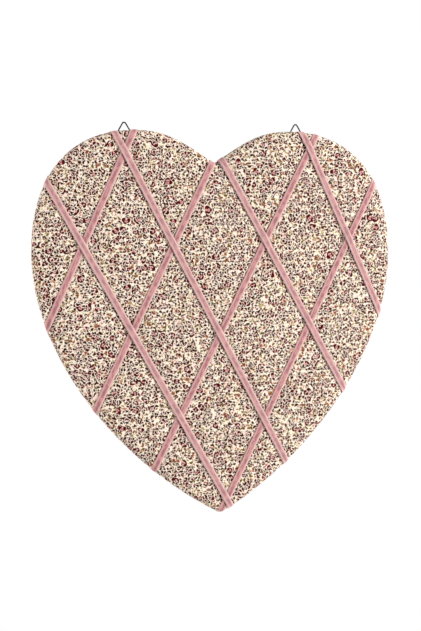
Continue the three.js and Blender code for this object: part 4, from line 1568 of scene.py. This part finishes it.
@dataclass
class Studio:
    """The camera of the photograph, soft studio light and a pale floor well below the hanging board."""

    azimuth: float = math.radians(12.24)
    elevation: float = math.radians(3.88)
    roll: float = math.radians(0.99)
    distance: float = 0.936
    aim: tuple[float, float, float] = (-0.00815, -0.0158, 0.0092)
    lens: float = 51.35
    sensor: float = 36
    floor_z: float = -0.75
    floor_radius: float = 0.9
    floor_sides: int = 96
    floor_mottle: float = 0.16667
    room_light: float = 0.17
    white: str = "#ffffff"
    # A small key lamp far to the right, for narrow shadows, a wide fill from the left and one behind
    lamps: tuple[Lamp, ...] = (
        Lamp("key_lamp", (2.4, -1.37, 0.83), 0.2, 125),
        Lamp("fill_lamp", (-1.6, -0.3, 0.4), 0.8, 23),
        Lamp("back_lamp", (-0.8, 1.6, 0.5), 1.0, 22),
    )

    def camera(self) -> Piece:
        """Makes the camera, to the left of the board and a little above it, with a slight roll.

        Returns:
            The camera's object.
        """
        ca, sa = math.cos(self.azimuth), math.sin(self.azimuth)
        ce, se = math.cos(self.elevation), math.sin(self.elevation)
        cr, sr = math.cos(self.roll), math.sin(self.roll)
        swing = Matrix(((ca, 0, sa), (0, 1, 0), (-sa, 0, ca)))
        tilt = Matrix(((1, 0, 0), (0, ce, -se), (0, se, ce)))
        bank = Matrix(((cr, -sr, 0), (sr, cr, 0), (0, 0, 1)))
        right, up, back = (Vector((row.x, -row.z, row.y)) for row in bank @ tilt @ swing)
        place = Vector(self.aim) + back * self.distance
        data = bpy.data.cameras.new("photo_camera")
        data.lens = self.lens
        data.sensor_width = self.sensor
        camera = bpy.data.objects.new("photo_camera", data)
        camera.matrix_world = Matrix(
            [(*(axis[k] for axis in (right, up, back)), place[k]) for k in range(3)] + [(0, 0, 0, 1)]
        )
        bpy.context.scene.collection.objects.link(camera)
        bpy.context.scene.camera = camera
        return camera

    def _seen_white(self, tree: Tree) -> Node:
        """1 for what the camera sees straight, in gloss or through glass.

        Args:
            tree: the node tree.

        Returns:
            The node whose value is 1 or 0.
        """
        path = add_node(tree, "LightPath")
        straight = {0: path.outputs["Is Camera Ray"], 1: path.outputs["Is Glossy Ray"]}
        seen = add_node(tree, "Math", straight, operation="MAXIMUM")
        return add_node(tree, "Math", {0: seen, 1: path.outputs["Is Transmission Ray"]}, operation="MAXIMUM")

    def surroundings(self) -> None:
        """A world that looks white and lights softly, and the floor."""
        world = bpy.data.worlds.new("soft_room")
        bpy.context.scene.world = world
        world.use_nodes = True
        tree = world.node_tree
        tree.nodes.clear()
        seen = self._seen_white(tree)
        strength = add_node(tree, "MapRange", {0: seen, 1: 0.0, 2: 1.0, 3: self.room_light, 4: 1.0})
        light = add_node(tree, "Background", {"Color": linear(self.white), "Strength": strength})
        add_node(tree, "OutputWorld", {"Surface": light})
        sides, radius, level = self.floor_sides, self.floor_radius / MM, self.floor_z / MM
        angle = np.arange(sides) * math.tau / sides
        edge = np.stack([radius * np.cos(angle), radius * np.sin(angle), np.full(sides, level)], axis=1)
        points = np.concatenate([edge, [[0, 0, level]]])
        faces = [fan_faces(np.arange(sides)[::-1], sides)]
        floor = make_piece("floor", points, faces, self._floor_finish())

    def _floor_finish(self) -> Material:
        """Pale painted floor with a faint mottle.

        Returns:
            The material.
        """
        material, tree, shader = new_surface("painted_floor", {"Roughness": 0.8})
        place = add_node(tree, "TexCoord").outputs["Object"]
        mottle = add_node(tree, "TexNoise", {"Vector": place, "Scale": 1 / self.floor_mottle})
        shades = {0: mottle, 6: linear("#f1efec"), 7: linear("#f7f6f4")}
        colour = add_node(tree, "Mix", shades, data_type="RGBA")
        tree.links.new(colour.outputs[2], shader.inputs["Base Color"])
        return material


@dataclass
class HiddenBoard:
    """What the cover hides or the back shows: the CAD's own board, card, staples, straps and screws.

    Edge is the width in millimetres of the softened edges of straps and screws, where two faces meet at
    more than the edge_angle.
    """

    edge: float = 0.12
    edge_angle: float = math.radians(40)

    def dress(self, node: str, finish: Material, edge: float) -> Piece:
        """Gives a CAD node its material, and softens its edges where it has some to soften.

        Args:
            node: the node's name.
            finish: its material.
            edge: width of the softened edge in millimetres, or 0 for none.

        Returns:
            The node's object.
        """
        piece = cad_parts[node]
        piece.data.materials.clear()
        piece.data.materials.append(finish)
        if edge:
            weld = piece.modifiers.new("joined", "WELD")
            weld.merge_threshold = TINY
            soft = piece.modifiers.new("soft_edge", "BEVEL")
            soft.width = edge * MM
            soft.segments = 2
            soft.limit_method = "ANGLE"
            soft.angle_limit = self.edge_angle
        return piece

    def build(self, finishes: dict[str, Material]) -> list[Piece]:
        """Dresses every node of the set.

        Args:
            finishes: the materials by name.

        Returns:
            The nodes' objects.
        """
        dressed = [
            self.dress("core_board", finishes["fibreboard"], 0),
            self.dress("back_panel", finishes["grey_card"], 0),
        ]
        for node in sorted(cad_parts):
            if "staple" in node:
                dressed.append(self.dress(node, finishes["staple_steel"], 0))
            elif node.startswith(("hanger_strap", "hanger_screw")):
                dressed.append(self.dress(node, finishes["zinc_plate"], self.edge))
        return dressed


def main() -> None:
    """Builds the sub-assemblies in order and reports each piece."""
    logging.basicConfig(level=logging.INFO, format="%(message)s")
    bpy.context.scene.view_settings.view_transform = "Standard"
    studio = Studio()
    studio.camera()
    studio.surroundings()
    for lamp in studio.lamps:
        lamp.build()

    low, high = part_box("printed_cover")
    outline = HeartOutline((high.x - low.x) / MM, (high.z - low.z) / MM)
    core_low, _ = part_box("core_board")
    face = PaddedFace(low.y / MM, high.y / MM, core_low.y / MM)
    lattice = VelvetLattice(outline, face)
    cover = PrintedCover(outline, face, lattice.falling + lattice.rising)

    # Hardboard is pressed wood fibre, brown and matt with a fine speckle. The card is rolled from waste
    # paper, greyish, matt and a little cloudy. The wadding is bonded polyester, white, soft and matt. The
    # rings are drawn steel wire, darkened and half glossy. The straps and screws are zinc plated, pale and
    # half glossy, and the staples are galvanised wire, a little duller.
    finishes = {
        "fibreboard": GrainedFinish("fibreboard", "#b8946a", "#9a7850", 0.85, 1.2, 0.1).build(),
        "grey_card": GrainedFinish("grey_card", "#b4ab9c", "#968c7d", 0.9, 1.3, 0.08).build(),
        "wadding": GrainedFinish("polyester_wadding", "#f4f1ea", "#e6e2d8", 1.0, 3.0, 0.5).build(),
        "ring_wire": MetalFinish("drawn_steel_wire", "#4c4a48", "#2e2c2a", 0.36, 3.0).build(),
        "zinc_plate": MetalFinish("zinc_plate", "#c3c4c2", "#a3a4a3", 0.34, 2.0).build(),
        "staple_steel": MetalFinish("staple_steel", "#b4b5b6", "#8f9091", 0.4, 1.0).build(),
    }
    # The same dusty rose cotton velvet, with its pile leaning down the board or up it. The two copies hold
    # painted shade: the falling ribbons' colours are painted lighter and the rising ones' darker, and each
    # right band is a painted highlight.
    velvets = {
        NapShade.DOWN: CottonVelvet(NapShade.DOWN, "#cc9896", "#b07f82", "#dcb4b0", "#dab6b1", 1.8, 1.5).build(),
        NapShade.UP: CottonVelvet(NapShade.UP, "#cc9291", "#a87074", "#d3a9a5", "#d6b0ab", 1.3, 1.8).build(),
    }
    pieces = [cover.build(PrintedCotton().build()), WaddingBatt(cover).build(finishes["wadding"])]
    pieces += lattice.build(velvets)
    pieces += [WireRing(side).build(finishes["ring_wire"]) for side in ("left", "right")]
    pieces += HiddenBoard().build(finishes)
    for piece in pieces:
        log.info("%s: %d faces", piece.name, len(piece.data.polygons))


if __name__ == "__main__":
    main()
